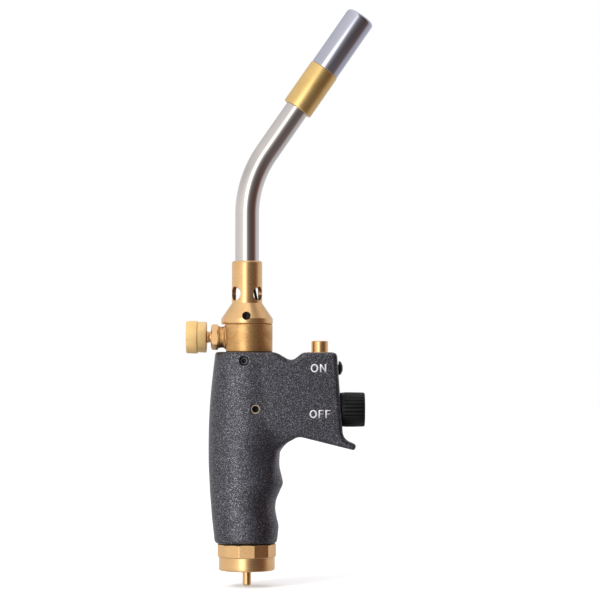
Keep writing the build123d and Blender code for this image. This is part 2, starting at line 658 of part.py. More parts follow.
def tip_coupling():
    edge = COUPLING_EDGE
    body = turned([
        (0, COUPLING_START), (COUPLING_R - edge, COUPLING_START), (COUPLING_R, COUPLING_START + edge),
        (COUPLING_R, COUPLING_END - edge), (COUPLING_R - edge, COUPLING_END), (0, COUPLING_END),
    ])
    body -= rod_z(TUBE_R + GAP, COUPLING_START, TUBE_END)
    body -= rod_z(TUBE_R - TUBE_WALL, COUPLING_START, COUPLING_STOP)
    return on_burner(body - rod_z(TIP_SPIGOT_R, COUPLING_STOP, COUPLING_END))


def burner_tip():
    lip_start = TIP_END - TIP_LIP
    knuckle = TIP_ROUND * 0.3
    body = turned([
        (0, TIP_SPIGOT_START), (TIP_SPIGOT_R - GAP, TIP_SPIGOT_START), (TIP_SPIGOT_R - GAP, COUPLING_END),
        (TIP_R - knuckle, COUPLING_END), (TIP_R, COUPLING_END + knuckle), (TIP_R, TIP_END - TIP_ROUND),
        (TIP_R - knuckle, TIP_END - knuckle), (TIP_R - TIP_ROUND, TIP_END), (0, TIP_END),
    ])
    body -= rod_z(TUBE_R - TUBE_WALL, TIP_SPIGOT_START, HOLDER_START)
    body -= rod_z(TIP_R - TIP_WALL, HOLDER_START, lip_start)
    return on_burner(body - rod_z(TIP_MOUTH_R, lip_start, TIP_END))


def flame_holder():
    disc = rod_z(TIP_R - TIP_WALL - GAP, HOLDER_START, HOLDER_END)
    for i in range(HOLDER_HOLES):
        angle = 2 * pi * i / HOLDER_HOLES
        x = HOLDER_RING_R * cos(angle)
        y = HOLDER_RING_R * sin(angle)
        disc -= rod_z(HOLDER_HOLE_R, HOLDER_START, HOLDER_END, x, y)
    return on_burner(disc - rod_z(INSULATOR_R + GAP, HOLDER_START, HOLDER_END))


def electrode_insulator():
    outer = rod_z(INSULATOR_R, INSULATOR_START, INSULATOR_END)
    return on_burner(outer - rod_z(ROD_R + GAP, INSULATOR_START, INSULATOR_END))


def electrode_rod():
    return on_burner(rod_z(ROD_R, LEAD_END, ROD_END))


def ignition_lead():
    """Black lead from the piezo unit, through the handle, the valve body and the tube."""
    start = (IGNITER_X - POCKET_R - FACE_GAP, 0, LEAD_Z)
    route = [
        start, (LEAD_X, 0, LEAD_Z), (LEAD_X, 0, LEAD_TURN_Z), (LEAD_CENTRED_X, 0, LEAD_CENTRED_Z),
        (0, 0, BEND_CORNER_Z), burner_point(LEAD_END),
    ]
    path = FilletPolyline(*route, radius=LEAD_BENDS)
    section = Plane(origin=start, z_dir=(-1, 0, 0)) * Circle(LEAD_R)
    return sweep(section, path=path)


# ---------------------------------------------------------------- igniter
def igniter_body():
    body = rod_z(POCKET_R - GAP, POCKET_FLOOR, IGNITER_BODY_TOP, IGNITER_X)
    body -= rod_z(PLUNGER_R + PLUNGER_RUN, POCKET_FLOOR + IGNITER_BASE, IGNITER_BODY_TOP, IGNITER_X)
    groove = rod_z(SPRING_OUTER_R, SPRING_FLOOR, IGNITER_BODY_TOP, IGNITER_X)
    groove -= rod_z(SPRING_INNER_R, SPRING_FLOOR, IGNITER_BODY_TOP, IGNITER_X)
    return body - groove


def igniter_plunger():
    return rod_z(PLUNGER_R, PLUNGER_BOTTOM, BUTTON_FLANGE_BOTTOM, IGNITER_X)


def igniter_spring():
    low = SPRING_FLOOR + SPRING_WIRE_R + FACE_GAP
    length = BUTTON_FLANGE_BOTTOM - SPRING_WIRE_R - FACE_GAP - low
    path = Pos(IGNITER_X, 0, low) * Helix(length / SPRING_TURNS, length, SPRING_MEAN_R)
    section = Plane(origin=path @ 0, z_dir=path % 0) * Circle(SPRING_WIRE_R)
    return sweep(section, path=path, is_frenet=True)


def igniter_button():
    knuckle = BUTTON_CROWN / 3
    button = turned([
        (0, BUTTON_FLANGE_BOTTOM), (BUTTON_FLANGE_R, BUTTON_FLANGE_BOTTOM), (BUTTON_FLANGE_R, BUTTON_FLANGE_TOP),
        (BUTTON_R, BUTTON_FLANGE_TOP), (BUTTON_R, BUTTON_TOP - BUTTON_CROWN),
        (BUTTON_R - knuckle, BUTTON_TOP - knuckle), (BUTTON_R - BUTTON_CROWN, BUTTON_TOP), (0, BUTTON_TOP),
    ])
    return Pos(IGNITER_X, 0, 0) * button


def button_bush():
    bush = rod_z(POCKET_R - GAP, IGNITER_BODY_TOP + 2 * RUN, LOBE_TOP, IGNITER_X)
    bush -= rod_z(BUTTON_FLANGE_R + 3 * RUN, IGNITER_BODY_TOP, BUSH_SHOULDER, IGNITER_X)
    return bush - rod_z(BUTTON_R + RUN, BUSH_SHOULDER, LOBE_TOP, IGNITER_X)


def igniter_screw():
    top = IGNITER_SCREW_HEAD
    # domed head: radius and height as shares of the head's own
    dome = [(1.0, 0.2), (0.9, 0.54), (0.7, 0.83), (0.43, 1.0)]
    outline = [(IGNITER_SCREW_HEAD_R * across, top * up) for across, up in dome]
    head = turned([(0, 0), (IGNITER_SCREW_HEAD_R, 0)] + outline + [(0, top)])
    head -= prism_z(IGNITER_SCREW_SOCKET, 6, top / 2, top)
    shank_start = IGNITER_X + POCKET_R + FACE_GAP
    shank = rod_x(IGNITER_SCREW_R, shank_start, IGNITER_SCREW_X, IGNITER_SCREW_Z)
    return Location((IGNITER_SCREW_X, 0, IGNITER_SCREW_Z), (0, 90, 0)) * head + shank


PIECES = [
    handle_casting, cylinder_nut, valve_probe, cylinder_seal, inlet_filter, riser_tube,
    shutoff_block, hollow_pin, valve_bonnet, shutoff_washer, shutoff_spindle, spindle_o_ring,
    shutoff_knob, shutoff_knob_screw, flame_valve_body, feed_tube, handle_grub_screw,
    flame_gland_nut, flame_stem, flame_o_ring, flame_knob, flame_knob_screw, jet_nozzle,
    mixer_cone, mixer_grub_screw, burner_tube, tip_coupling, burner_tip, flame_holder,
    electrode_insulator, electrode_rod, ignition_lead, igniter_body, igniter_plunger,
    igniter_spring, igniter_button, button_bush, igniter_screw,
]


def main():
    os.makedirs("parts", exist_ok=True)
    for piece in PIECES:
        export_step(piece(), f"parts/{piece.__name__}.step")


main()
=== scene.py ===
import json
from math import atan, atan2, cos, pi, radians, sin, sqrt, tan

import bpy
import numpy as np
from mathutils import Matrix, Vector


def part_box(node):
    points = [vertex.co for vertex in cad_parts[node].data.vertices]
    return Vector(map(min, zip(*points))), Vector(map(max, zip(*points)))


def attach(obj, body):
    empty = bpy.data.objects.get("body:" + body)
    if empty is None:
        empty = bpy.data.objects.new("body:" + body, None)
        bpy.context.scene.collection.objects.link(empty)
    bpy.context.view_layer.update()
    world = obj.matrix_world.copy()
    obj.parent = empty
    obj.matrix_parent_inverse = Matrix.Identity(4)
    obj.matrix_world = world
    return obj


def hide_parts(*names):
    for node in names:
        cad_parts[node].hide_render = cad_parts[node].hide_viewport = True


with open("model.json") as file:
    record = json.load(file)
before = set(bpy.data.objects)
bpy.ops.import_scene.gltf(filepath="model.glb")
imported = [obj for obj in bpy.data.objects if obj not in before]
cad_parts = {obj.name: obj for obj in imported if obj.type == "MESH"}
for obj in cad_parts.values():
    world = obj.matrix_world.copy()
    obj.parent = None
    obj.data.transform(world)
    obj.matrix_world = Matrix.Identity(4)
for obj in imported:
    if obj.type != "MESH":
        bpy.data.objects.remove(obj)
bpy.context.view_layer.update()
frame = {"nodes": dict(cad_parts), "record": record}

# Lengths below are in millimetres, in the CAD frame: +Z up the grip, +X towards the lobe.
MM = 0.001
FULL_TURN = 2 * pi


# ---------------- places from the frame
def low(node):
    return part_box(node)[0] / MM


def high(node):
    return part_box(node)[1] / MM


def centre_of(node):
    return (low(node) + high(node)) / 2


FLOOR_Z = low("valve_probe").z - 0.4
HANDLE_BOTTOM = low("handle_casting").z
HANDLE_TOP = high("handle_casting").z
NUT_TOP = HANDLE_BOTTOM - 0.2
NUT_MOUTH = 1.6
NUT_SKIRT_TOP = 9.4
NUT_R = 16.0
NUT_FLATS = 33.2
NUT_TURN = radians(1.4)
THREAD_R = 12.1
THREAD_DEPTH = 0.62
THREAD_PITCH = 1.27
THREAD_FLOOR = 11.3
HUB_R = 8.5
FLAME_Z = (low("flame_knob").z + high("flame_knob").z) / 2
SHUTOFF_Z = (low("shutoff_knob").z + high("shutoff_knob").z) / 2
IGNITER_X = (low("igniter_button").x + high("igniter_button").x) / 2 - 0.4
IGNITER_SCREW_Z = 116.7
LOBE_TOP = high("button_bush").z
PIN = centre_of("hollow_pin")
SCREW = centre_of("handle_grub_screw")
BODY_TOP = low("mixer_cone").z
MIXER_TOP = high("mixer_cone").z
KNOB_START = low("shutoff_knob").x
KNOB_END = high("shutoff_knob").x
KNOB_R = (high("shutoff_knob").z - low("shutoff_knob").z) / 2
BORE_R = 9.0
TUBE_R = 6.85
BEND_CORNER_Z = 224.1
BEND_ANGLE = radians(34.7)
BEND_R = 62.0
TUBE_END = 63.4
COUPLING_R = 8.9
COUPLING_START = 50.5
COUPLING_STOP = 67.4
COUPLING_END = 77.8
TIP_R = 8.6
TIP_SOCKET_R = 7.0
TIP_BORE_R = 5.9
TIP_END = 115.4


# ---------------- outlines
def rounded(corners, steps=4, closed=True):
    """Points of an outline whose corners (u, v, radius) are rounded with arcs."""
    points = []
    last = len(corners) - 1
    for i, (u, v, radius) in enumerate(corners):
        here = Vector((u, v))
        if radius == 0 or (not closed and i in (0, last)):
            points.append((u, v))
            continue
        before = (Vector(corners[i - 1][:2]) - here).normalized()
        after = (Vector(corners[(i + 1) % len(corners)][:2]) - here).normalized()
        half = before.angle(after) / 2
        centre = here + (before + after).normalized() * radius / sin(half)
        start = here + before * radius / tan(half) - centre
        end = here + after * radius / tan(half) - centre
        first = atan2(start.y, start.x)
        turn = (atan2(end.y, end.x) - first + pi) % FULL_TURN - pi
        for step in range(steps + 1):
            angle = first + turn * step / steps
            points.append((centre.x + radius * cos(angle), centre.y + radius * sin(angle)))
    return points


def polygon_radius(angle, flats, sides, corner_r, turn=0.0):
    """Distance from the centre to the edge of a regular polygon with rounded corners."""
    half = pi / sides
    offset = (angle - turn + half) % (2 * half) - half
    apothem = flats / 2
    straight = atan((apothem - corner_r) * tan(half) / apothem)
    if abs(offset) <= straight:
        return apothem / cos(offset)
    centre = (apothem - corner_r) / cos(half)
    away = half - abs(offset)
    return centre * cos(away) + sqrt(corner_r ** 2 - (centre * sin(away)) ** 2)


def even_angles(count):
    return [FULL_TURN * i / count for i in range(count)]


def polygon_angles(sides, turn=0.0, on_flat=10, on_corner=5, corner_share=0.08):
    """Angles that lie closer together at a polygon's corners than along its flats."""
    angles = []
    step = FULL_TURN / sides
    for side in range(sides):
        middle = turn + side * step
        flat = step * (1 - corner_share)
        angles += [middle - flat / 2 + flat * i / on_flat for i in range(on_flat)]
        angles += [middle + flat / 2 + step * corner_share * i / on_corner for i in range(on_corner)]
    return angles


# ---------------- meshes
def along(direction, origin=(0, 0, 0)):
    """Matrix that lays a piece's local Z, its turning axis, along a direction."""
    turn = Vector(direction).to_track_quat("Z", "Y").to_matrix().to_4x4()
    return Matrix.Translation(Vector(origin) * MM) @ turn


def shade(mesh, sharp=32):
    """Smooth shading, with sharp edges where faces meet at more than an angle in degrees."""
    mesh.shade_smooth()
    mesh.set_sharp_from_angle(angle=radians(sharp))


def new_object(name, points, faces, place=Matrix.Identity(4), sharp=32):
    """Object from points in local millimetres, shaded smooth between its sharp edges."""
    mesh = bpy.data.meshes.new(name)
    mesh.from_pydata((np.asarray(points, float) * MM).tolist(), [], faces)
    mesh.validate()
    mesh.update()
    shade(mesh, sharp)
    piece = bpy.data.objects.new(name, mesh)
    bpy.context.collection.objects.link(piece)
    piece.matrix_world = place
    return piece


def spin(name, ring_at, place=Matrix.Identity(4), angles=128, closed=False, sharp=32):
    """Solid turned about local Z. ring_at(angle) gives (radius, height) points, and every angle gives
    as many. A closed outline makes a ring. An open one starts and ends on the axis."""
    angles = even_angles(angles) if isinstance(angles, int) else angles
    rings = [ring_at(angle) for angle in angles]
    count = len(rings[0])
    points, columns = [], []
    for angle, ring in zip(angles, rings):
        column = []
        for i, (radius, height) in enumerate(ring):
            if radius == 0 and columns:
                column.append(columns[0][i])
                continue
            column.append(len(points))
            points.append((radius * cos(angle), radius * sin(angle), height))
        columns.append(column)
    faces = []
    spans = count if closed else count - 1
    for a, b in zip(columns, columns[1:] + columns[:1]):
        for i in range(spans):
            j = (i + 1) % count
            corners = [a[i], b[i], b[j], a[j]]
            face = [c for k, c in enumerate(corners) if c != corners[k - 1]]
            if len(face) > 2:
                faces.append(face)
    piece = new_object(name, points, faces, place, sharp)
    face_outward(piece)
    return piece


def lathe(name, outline, place=Matrix.Identity(4), angles=128, closed=False, sharp=32):
    return spin(name, lambda angle: outline, place, angles, closed, sharp)


def face_outward(piece):
    """Turns the faces of a closed mesh outward, by the sign of its volume."""
    mesh = piece.data
    if sum(face.center.dot(face.normal) * face.area for face in mesh.polygons) < 0:
        mesh.flip_normals()


def bake(piece):
    """Applies a piece's modifiers to its mesh."""
    bpy.context.view_layer.update()
    graph = bpy.context.evaluated_depsgraph_get()
    made = bpy.data.meshes.new_from_object(piece.evaluated_get(graph))
    piece.modifiers.clear()
    piece.data = made
    return piece


def combine(piece, other, operation, sharp=32):
    """Joins a solid to a piece, or cuts it away."""
    change = piece.modifiers.new(operation, "BOOLEAN")
    change.operation = operation
    change.solver = "EXACT"
    change.object = other
    bake(piece)
    bpy.data.objects.remove(other)
    shade(piece.data, sharp)
    return piece


def soften(piece, width, segments=2, angle=38):
    """Small bevel on the edges that a cut left sharp."""
    edge = piece.modifiers.new("edges", "BEVEL")
    edge.width = width * MM
    edge.segments = segments
    edge.limit_method = "ANGLE"
    edge.angle_limit = radians(angle)
    bake(piece)
    shade(piece.data, 50)
    return piece


def rod(radius, start, end, place, angles=96):
    """Plain cutter rod along local Z."""
    return lathe("cutter", [(0, start), (radius, start), (radius, end), (0, end)], place, angles)


def block(low_corner, high_corner):
    """Plain cutter block."""
    points = [(x, y, z) for x in (low_corner[0], high_corner[0])
              for y in (low_corner[1], high_corner[1]) for z in (low_corner[2], high_corner[2])]
    faces = [(0, 1, 3, 2), (4, 6, 7, 5), (0, 4, 5, 1), (2, 3, 7, 6), (0, 2, 6, 4), (1, 5, 7, 3)]
    return new_object("cutter", points, faces)


def touch_up(piece, material, inner, outer, above):
    """Second material on the faces between two radii and above a height, in the piece's own axes."""
    piece.data.materials.append(MATERIALS[material])
    for face in piece.data.polygons:
        across = sqrt(face.center.x ** 2 + face.center.y ** 2) / MM
        if inner < across < outer and face.center.z > above * MM:
            face.material_index = 1
    return piece


def settle(piece, material, body, slot, *nodes):
    """Gives a finished piece its material, its body and the CAD nodes that it stands for."""
    piece.data.materials.clear()
    piece.data.materials.append(MATERIALS[material])
    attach(piece, body)
    if nodes:
        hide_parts(*nodes)
    return piece


# ---------------- materials
def srgb(red, green, blue):
    """Linear colour of an 8-bit sRGB one."""
    def linear(value):
        value /= 255
        return value / 12.92 if value <= 0.04045 else ((value + 0.055) / 1.055) ** 2.4
    return (linear(red), linear(green), linear(blue), 1.0)


class Shader:
    """The node tree of a new material, or of the world, with a short way to add and join nodes."""

    def __init__(self, name, world=None):
        self.material = world or bpy.data.materials.new(name)
        self.material.use_nodes = True
        self.nodes = self.material.node_tree.nodes
        self.links = self.material.node_tree.links
        self.base = self.nodes["Background" if world else "Principled BSDF"]

    def add(self, kind, inputs=None, **settings):
        made = self.nodes.new(kind)
        for key, value in settings.items():
            setattr(made, key, value)
        for key, value in (inputs or {}).items():
            self.join(value, made.inputs[key])
        return made

    def join(self, value, socket):
        if isinstance(value, bpy.types.NodeSocket):
            self.links.new(value, socket)
        else:
            socket.default_value = value

    def set(self, **inputs):
        for key, value in inputs.items():
            self.join(value, self.base.inputs[key.replace("_", " ")])
        return self

    def math(self, operation, a, b=0.0):
        return self.add("ShaderNodeMath", {0: a, 1: b}, operation=operation).outputs[0]

    def ramp(self, factor, *stops):
        """Colour ramp with (position, colour or grey) stops."""
        made = self.add("ShaderNodeValToRGB", {"Fac": factor})
        elements = made.color_ramp.elements
        while len(elements) < len(stops):
            elements.new(0.5)
        for element, (position, colour) in zip(elements, stops):
            element.position = position
            element.color = (*colour, 1) if isinstance(colour, tuple) else (colour, colour, colour, 1)
        return made.outputs["Color"]

    def range(self, value, low_in, high_in, low_out, high_out):
        return self.add("ShaderNodeMapRange", {
            "Value": value, "From Min": low_in, "From Max": high_in, "To Min": low_out, "To Max": high_out,
        }).outputs["Result"]

    def mix(self, factor, a, b, blend="MIX"):
        made = self.add("ShaderNodeMix", data_type="RGBA", blend_type=blend)
        self.join(factor, made.inputs["Factor"])
        colours = [s for s in made.inputs if s.type == "RGBA"]
        self.join(a, colours[0])
        self.join(b, colours[1])
        return [s for s in made.outputs if s.type == "RGBA"][0]

    def place(self):
        return self.add("ShaderNodeTexCoord").outputs["Object"]

    def noise(self, scale, detail=2.0, vector=None, roughness=0.5):
        return self.add("ShaderNodeTexNoise", {
            "Vector": vector or self.place(), "Scale": scale, "Detail": detail, "Roughness": roughness,
        }).outputs["Fac"]

    def bump(self, height, strength, distance, normal=None):
        inputs = {"Height": height, "Strength": strength, "Distance": distance}
        if normal:
            inputs["Normal"] = normal
        return self.add("ShaderNodeBump", inputs).outputs["Normal"]

    def soft_edges(self, radius):
        return self.add("ShaderNodeBevel", {"Radius": radius * MM}, samples=4).outputs["Normal"]

    def lathe_lines(self, fineness):
        """Noise that is drawn out into rings round the piece's turning axis."""
        parts = self.add("ShaderNodeSeparateXYZ", {0: self.place()})
        across = self.math("MULTIPLY", parts.outputs["X"], parts.outputs["X"])
        deep = self.math("MULTIPLY", parts.outputs["Y"], parts.outputs["Y"])
        radius = self.math("SQRT", self.math("ADD", across, deep))
        rings = self.add("ShaderNodeCombineXYZ", {"X": radius, "Y": 0.0, "Z": parts.outputs["Z"]})
        return self.noise(fineness, 3.0, rings.outputs[0], 0.65)


BRASS = srgb(240, 198, 143)
BRASS_DEEP = srgb(226, 172, 112)


def turned_brass(name, roughness=0.23, line=0.3, colour_light=BRASS, colour_deep=BRASS_DEEP, metal=0.9):
    """Bright turned brass: fine rings from the tool, faint stains, rounded edges."""
    shader = Shader(name)
    rings = shader.lathe_lines(5200)
    stains = shader.noise(110, 3.0)
    colour = shader.mix(shader.range(stains, 0.35, 0.75, 0.0, 0.4), colour_light, colour_deep)
    gloss = shader.range(rings, 0.3, 0.7, roughness - 0.05, roughness + 0.09)
    normal = shader.bump(rings, line, 0.00002, shader.soft_edges(0.18))
    shader.set(Base_Color=colour, Metallic=metal, Roughness=gloss, Normal=normal)
    return shader.material


def tumbled_brass(name):
    """Satin brass of the valve body: a fine tumbled grain and cloudy tone."""
    shader = Shader(name)
    cloud = shader.noise(160, 4.0)
    grain = shader.noise(3600, 2.0)
    speck = shader.noise(900, 3.0)
    tone = shader.mix(shader.range(cloud, 0.3, 0.7, 0.0, 0.8), srgb(228, 184, 124), srgb(196, 146, 90))
    colour = shader.mix(shader.range(speck, 0.5, 0.75, 0.0, 0.5), tone, srgb(150, 108, 66))
    gloss = shader.range(cloud, 0.3, 0.7, 0.32, 0.44)
    normal = shader.bump(grain, 0.5, 0.00004, shader.soft_edges(0.25))
    shader.set(Base_Color=colour, Metallic=0.88, Roughness=gloss, Normal=normal)
    return shader.material


def steel(name, colour, roughness, line=0.1, fineness=3000):
    """Drawn or plated steel with a faint grain."""
    shader = Shader(name)
    rings = shader.lathe_lines(fineness)
    film = shader.noise(60, 3.0)
    tone = shader.mix(shader.range(film, 0.3, 0.8, 0.0, 0.2), colour, srgb(170, 171, 178))
    gloss = shader.range(film, 0.3, 0.7, roughness, roughness + 0.05)
    normal = shader.bump(rings, line, 0.00001, shader.soft_edges(0.15))
    shader.set(Base_Color=tone, Metallic=1.0, Roughness=gloss, Normal=normal)
    return shader.material


def powder_coat(name):
    """Charcoal powder coat: silver flakes of their own brightness in a dark, finely pebbled skin."""
    shader = Shader(name)
    place = shader.place()
    shine = 0.0
    for scale, least in ((4100, 0.74), (3100, 0.8)):
        cell = shader.add("ShaderNodeTexVoronoi", {"Vector": place, "Scale": scale})
        chance = shader.add("ShaderNodeSeparateColor", {0: cell.outputs["Color"]}).outputs[0]
        chosen = shader.range(chance, least, 1.0, 0.0, 1.0)
        near = shader.range(cell.outputs["Distance"], 0.35, 0.55, 1.0, 0.0)
        shine = shader.math("MAXIMUM", shader.math("MULTIPLY", chosen, near), shine)
    pebble = shader.noise(1500, 3.0)
    colour = shader.mix(shine, srgb(33, 34, 41), srgb(220, 220, 238))
    metal = shader.range(shine, 0.0, 0.2, 0.0, 1.0)
    gloss = shader.range(pebble, 0.3, 0.7, 0.36, 0.46)
    normal = shader.bump(pebble, 0.45, 0.0001)
    shader.set(Base_Color=colour, Metallic=metal, Roughness=gloss, IOR=1.55, Normal=normal)
    return shader.material


def moulded_black(name, roughness=0.42):
    shader = Shader(name)
    grain = shader.noise(2600, 2.0)
    rub = shader.noise(220, 3.0)
    colour = shader.mix(shader.range(rub, 0.35, 0.75, 0.0, 1.0), srgb(10, 10, 12), srgb(16, 16, 20))
    gloss = shader.range(rub, 0.3, 0.7, roughness - 0.06, roughness + 0.08)
    normal = shader.bump(grain, 0.25, 0.00004, shader.soft_edges(0.12))
    shader.set(Base_Color=colour, Roughness=gloss, Normal=normal, Specular_IOR_Level=0.26)
    return shader.material


def grained(name, light, dark, roughness, scale, rise=0.00004, strength=0.2, detail=2.0, span=(0.0, 1.0),
            metal=0.0):
    """Material between two tones that follow a fine grain, which also stands out a little."""
    shader = Shader(name)
    grain = shader.noise(scale, detail)
    colour = shader.mix(shader.range(grain, *span, 0.0, 1.0), light, dark)
    normal = shader.bump(grain, strength, rise)
    shader.set(Base_Color=colour, Metallic=metal, Roughness=roughness, Normal=normal)
    return shader.material


def rubber(name):
    return grained(name, srgb(20, 20, 21), srgb(34, 33, 33), 0.62, 1400)


def sintered(name):
    shader = Shader(name)
    cell = shader.add("ShaderNodeTexVoronoi", {"Vector": shader.place(), "Scale": 3200})
    colour = shader.mix(cell.outputs["Distance"], srgb(196, 150, 92), srgb(96, 68, 40))
    normal = shader.bump(cell.outputs["Distance"], 0.8, 0.0001)
    shader.set(Base_Color=colour, Metallic=1.0, Roughness=0.5, Normal=normal)
    return shader.material


MATERIALS = {
    "brass": turned_brass("turned_brass"),
    "satin_brass": turned_brass("satin_brass", 0.34, 0.4),
    "yellow_brass": turned_brass("yellow_brass", 0.3, 0.35, srgb(238, 202, 134), srgb(222, 178, 104)),
    "knob_brass": turned_brass("knob_brass", 0.36, 0.3, srgb(250, 214, 148), srgb(240, 197, 126), 0.42),
    "pale_brass": turned_brass("pale_brass", 0.3, 0.3, srgb(236, 214, 190), srgb(222, 194, 164)),
    "valve_body": tumbled_brass("tumbled_brass"),
    "stainless": steel("stainless", srgb(218, 213, 211), 0.06),
    "plated_tip": steel("plated_tip", srgb(194, 196, 212), 0.04, 0.05),
    "steel": steel("zinc_steel", srgb(190, 190, 194), 0.25, 0.2),
    "handle_coat": powder_coat("powder_coat"),
    "black_knob": moulded_black("moulded_black"),
    "igniter_plastic": moulded_black("moulded_nylon", 0.5),
    "black_screw": grained("black_oxide", srgb(26, 25, 26), srgb(44, 42, 42), 0.36, 1800, 0.00003,
                           span=(0.3, 0.7), metal=0.8),
    "worn_edge": steel("worn_edge", srgb(112, 112, 118), 0.35),
    "rubber": rubber("seal_rubber"),
    "lead": rubber("lead_insulation"),
    "ceramic": grained("glazed_ceramic", srgb(238, 234, 224), srgb(222, 216, 204), 0.22, 300, 0.00002, 0.1),
    "filter": sintered("sintered_bronze"),
    "ink": grained("print_ink", srgb(252, 252, 255), srgb(226, 228, 240), 0.5, 1500, 0.00003,
                   detail=3.0, span=(0.4, 0.75)),
}


# ---------------- handle casting
# the grip's outline: height, left x, right x, half depth
GRIP = np.array([
    (14.0, -17.6, 16.9, 15.7),
    (18.0, -18.4, 17.3, 16.1),
    (22.5, -18.9, 17.8, 16.5),
    (27.0, -19.4, 18.1, 16.7),
    (31.5, -19.9, 17.1, 16.8),
    (36.5, -20.3, 16.3, 16.8),
    (41.5, -20.7, 16.8, 16.9),
    (46.7, -21.1, 18.9, 17.0),
    (51.0, -21.3, 20.6, 17.0),
    (55.0, -21.5, 19.9, 17.0),
    (61.0, -21.8, 18.1, 16.9),
    (67.0, -21.9, 17.6, 16.8),
    (75.0, -21.9, 18.0, 16.6),
    (90.0, -21.5, 19.0, 16.5),
    (104.0, -20.5, 18.3, 16.4),
    (116.0, -19.2, 16.8, 16.2),
    (127.0, -17.9, 15.4, 16.0),
])
LOBE_CORNERS = [
    (-6.0, 126.5, 0.0),
    (15.6, 126.4, 3.0),
    (25.6, 120.5, 4.5),
    (32.6, LOBE_TOP + 0.2, 3.2),
    (51.3, LOBE_TOP + 0.2, 3.2),
    (54.9, 76.0, 7.5),
    (62.4, 73.0, 1.2),
    (61.3, 69.9, 1.4),
    (29.5, 77.9, 6.5),
    (16.5, 70.5, 3.0),
    (12.5, 54.0, 0.0),
    (-6.0, 54.0, 0.0),
]
LOBE_EDGE_R = 2.4
GRID_STEP = 0.55


def smooth_curve(at, knots, values):
    """Smooth curve through the knots, with Catmull-Rom slopes."""
    slopes = np.gradient(values, knots)
    i = np.clip(np.searchsorted(knots, at) - 1, 0, len(knots) - 2)
    width = knots[i + 1] - knots[i]
    t = np.clip((at - knots[i]) / width, 0, 1)
    rise = values[i] * (1 + 2 * t) * (1 - t) ** 2 + values[i + 1] * t * t * (3 - 2 * t)
    return rise + width * (slopes[i] * t * (1 - t) ** 2 - slopes[i + 1] * t * t * (1 - t))


def smooth_min(a, b, reach):
    near = np.maximum(reach - np.abs(a - b), 0) / reach
    return np.minimum(a, b) - near * near * reach / 4


def smooth_max(a, b, reach):
    return -smooth_min(-a, -b, reach)


def outline_distance(x, z, outline):
    """Signed distance to a closed outline in the XZ plane, negative inside."""
    nearest = np.full(np.broadcast(x, z).shape, 1e9)
    inside = np.zeros(nearest.shape, bool)
    for (x0, z0), (x1, z1) in zip(outline, outline[1:] + outline[:1]):
        dx, dz = x1 - x0, z1 - z0
        t = np.clip(((x - x0) * dx + (z - z0) * dz) / (dx * dx + dz * dz), 0, 1)
        nearest = np.minimum(nearest, (x - x0 - t * dx) ** 2 + (z - z0 - t * dz) ** 2)
        if dz:
            crosses = ((z0 > z) != (z1 > z)) & (x < (z - z0) * dx / dz + x0)
            inside ^= crosses
    return np.where(inside, -1, 1) * np.sqrt(nearest)


LOBE_OUTLINE = rounded(LOBE_CORNERS, steps=8)


def grip_distance(x, y, z):
    """Distance to the round grip, whose section is a slightly squared ellipse."""
    left, right, deep = (smooth_curve(z, GRIP[:, 0], GRIP[:, column]) for column in (1, 2, 3))
    wide = (right - left) / 2
    u = np.abs((x - (left + right) / 2) / wide)
    v = np.abs(y / deep)
    power = 2.25
    size = np.maximum((u ** power + v ** power) ** (1 / power), 1e-6)
    slope = np.sqrt((u ** (power - 1) / wide) ** 2 + (v ** (power - 1) / deep) ** 2) / size ** (power - 1)
    return (size - 1) / np.maximum(slope, 1 / np.maximum(wide, deep))


def lobe_half_depth(x, z):
    """Half depth of the lobe, which gets thinner from the grip to its right edge and near its underside."""
    out, into_grip = np.maximum(x - 1.0, 0), np.maximum(1.0 - x, 0)
    upper = 16.3 - 0.03 * out * out / (out + 8.0) - 0.0005 * out * out - 0.02 * into_grip ** 2
    lower = np.clip((90.0 - z) / 18.0, 0, 1) ** 2
    return upper + lower * (12.0 - upper)


def lobe_distance(x, y, z):
    """Distance to the lobe, a crowned plate with rounded edges."""
    side = outline_distance(x, z, LOBE_OUTLINE) + LOBE_EDGE_R
    face = np.abs(y) - lobe_half_depth(x, z) + LOBE_EDGE_R
    outer = np.sqrt(np.maximum(side, 0) ** 2 + np.maximum(face, 0) ** 2)
    return outer + np.minimum(np.maximum(side, face), 0) - LOBE_EDGE_R


def handle_skin(x, y, z):
    """Distance to the grip and the lobe run together, with a wide fillet under the lobe."""
    fillet = 2.0 + 6.0 * np.clip((86.0 - z) / 12.0, 0, 1)
    return smooth_min(grip_distance(x, y, z), lobe_distance(x, y, z), fillet)


def hole_distance(a, b, radius, along_axis, start, end):
    """Distance to a round hole, from its two cross coordinates and its run along its axis."""
    return np.maximum(np.sqrt(a * a + b * b) - radius, np.maximum(start - along_axis, along_axis - end))


def handle_distance(x, y, z):
    skin = handle_skin(x, y, z)
    skin = smooth_max(skin, z - HANDLE_TOP, 1.6)
    skin = smooth_max(skin, HANDLE_BOTTOM - z, 2.4)
    far = 80.0
    holes = [
        hole_distance(y, z - SHUTOFF_Z, 11.3, x, 50.9, far),
        hole_distance(y, z - SHUTOFF_Z, 7.7, x, 48.9, far),
        hole_distance(y, z - SHUTOFF_Z, 5.6, x, 0, far),
        hole_distance(x, y, BORE_R + 0.05, z, 80.0, far * 2),
        hole_distance(x, y, 3.7, z, 20.0, 81.0),
        hole_distance(x, y, HUB_R + 0.1, z, 0, 30.0),
        hole_distance(x - IGNITER_X, y, 7.25, z, 101.0, far * 2),
        hole_distance(x - PIN.x, z - PIN.z, 2.66, y, -far, 0),
        hole_distance(x - SCREW.x, z - SCREW.z, 2.5, y, -far, 0),
        hole_distance(y, z - IGNITER_SCREW_Z, 2.05, x, IGNITER_X, far),
    ]
    for hole in holes:
        skin = smooth_max(skin, -hole, 0.7)
    return skin


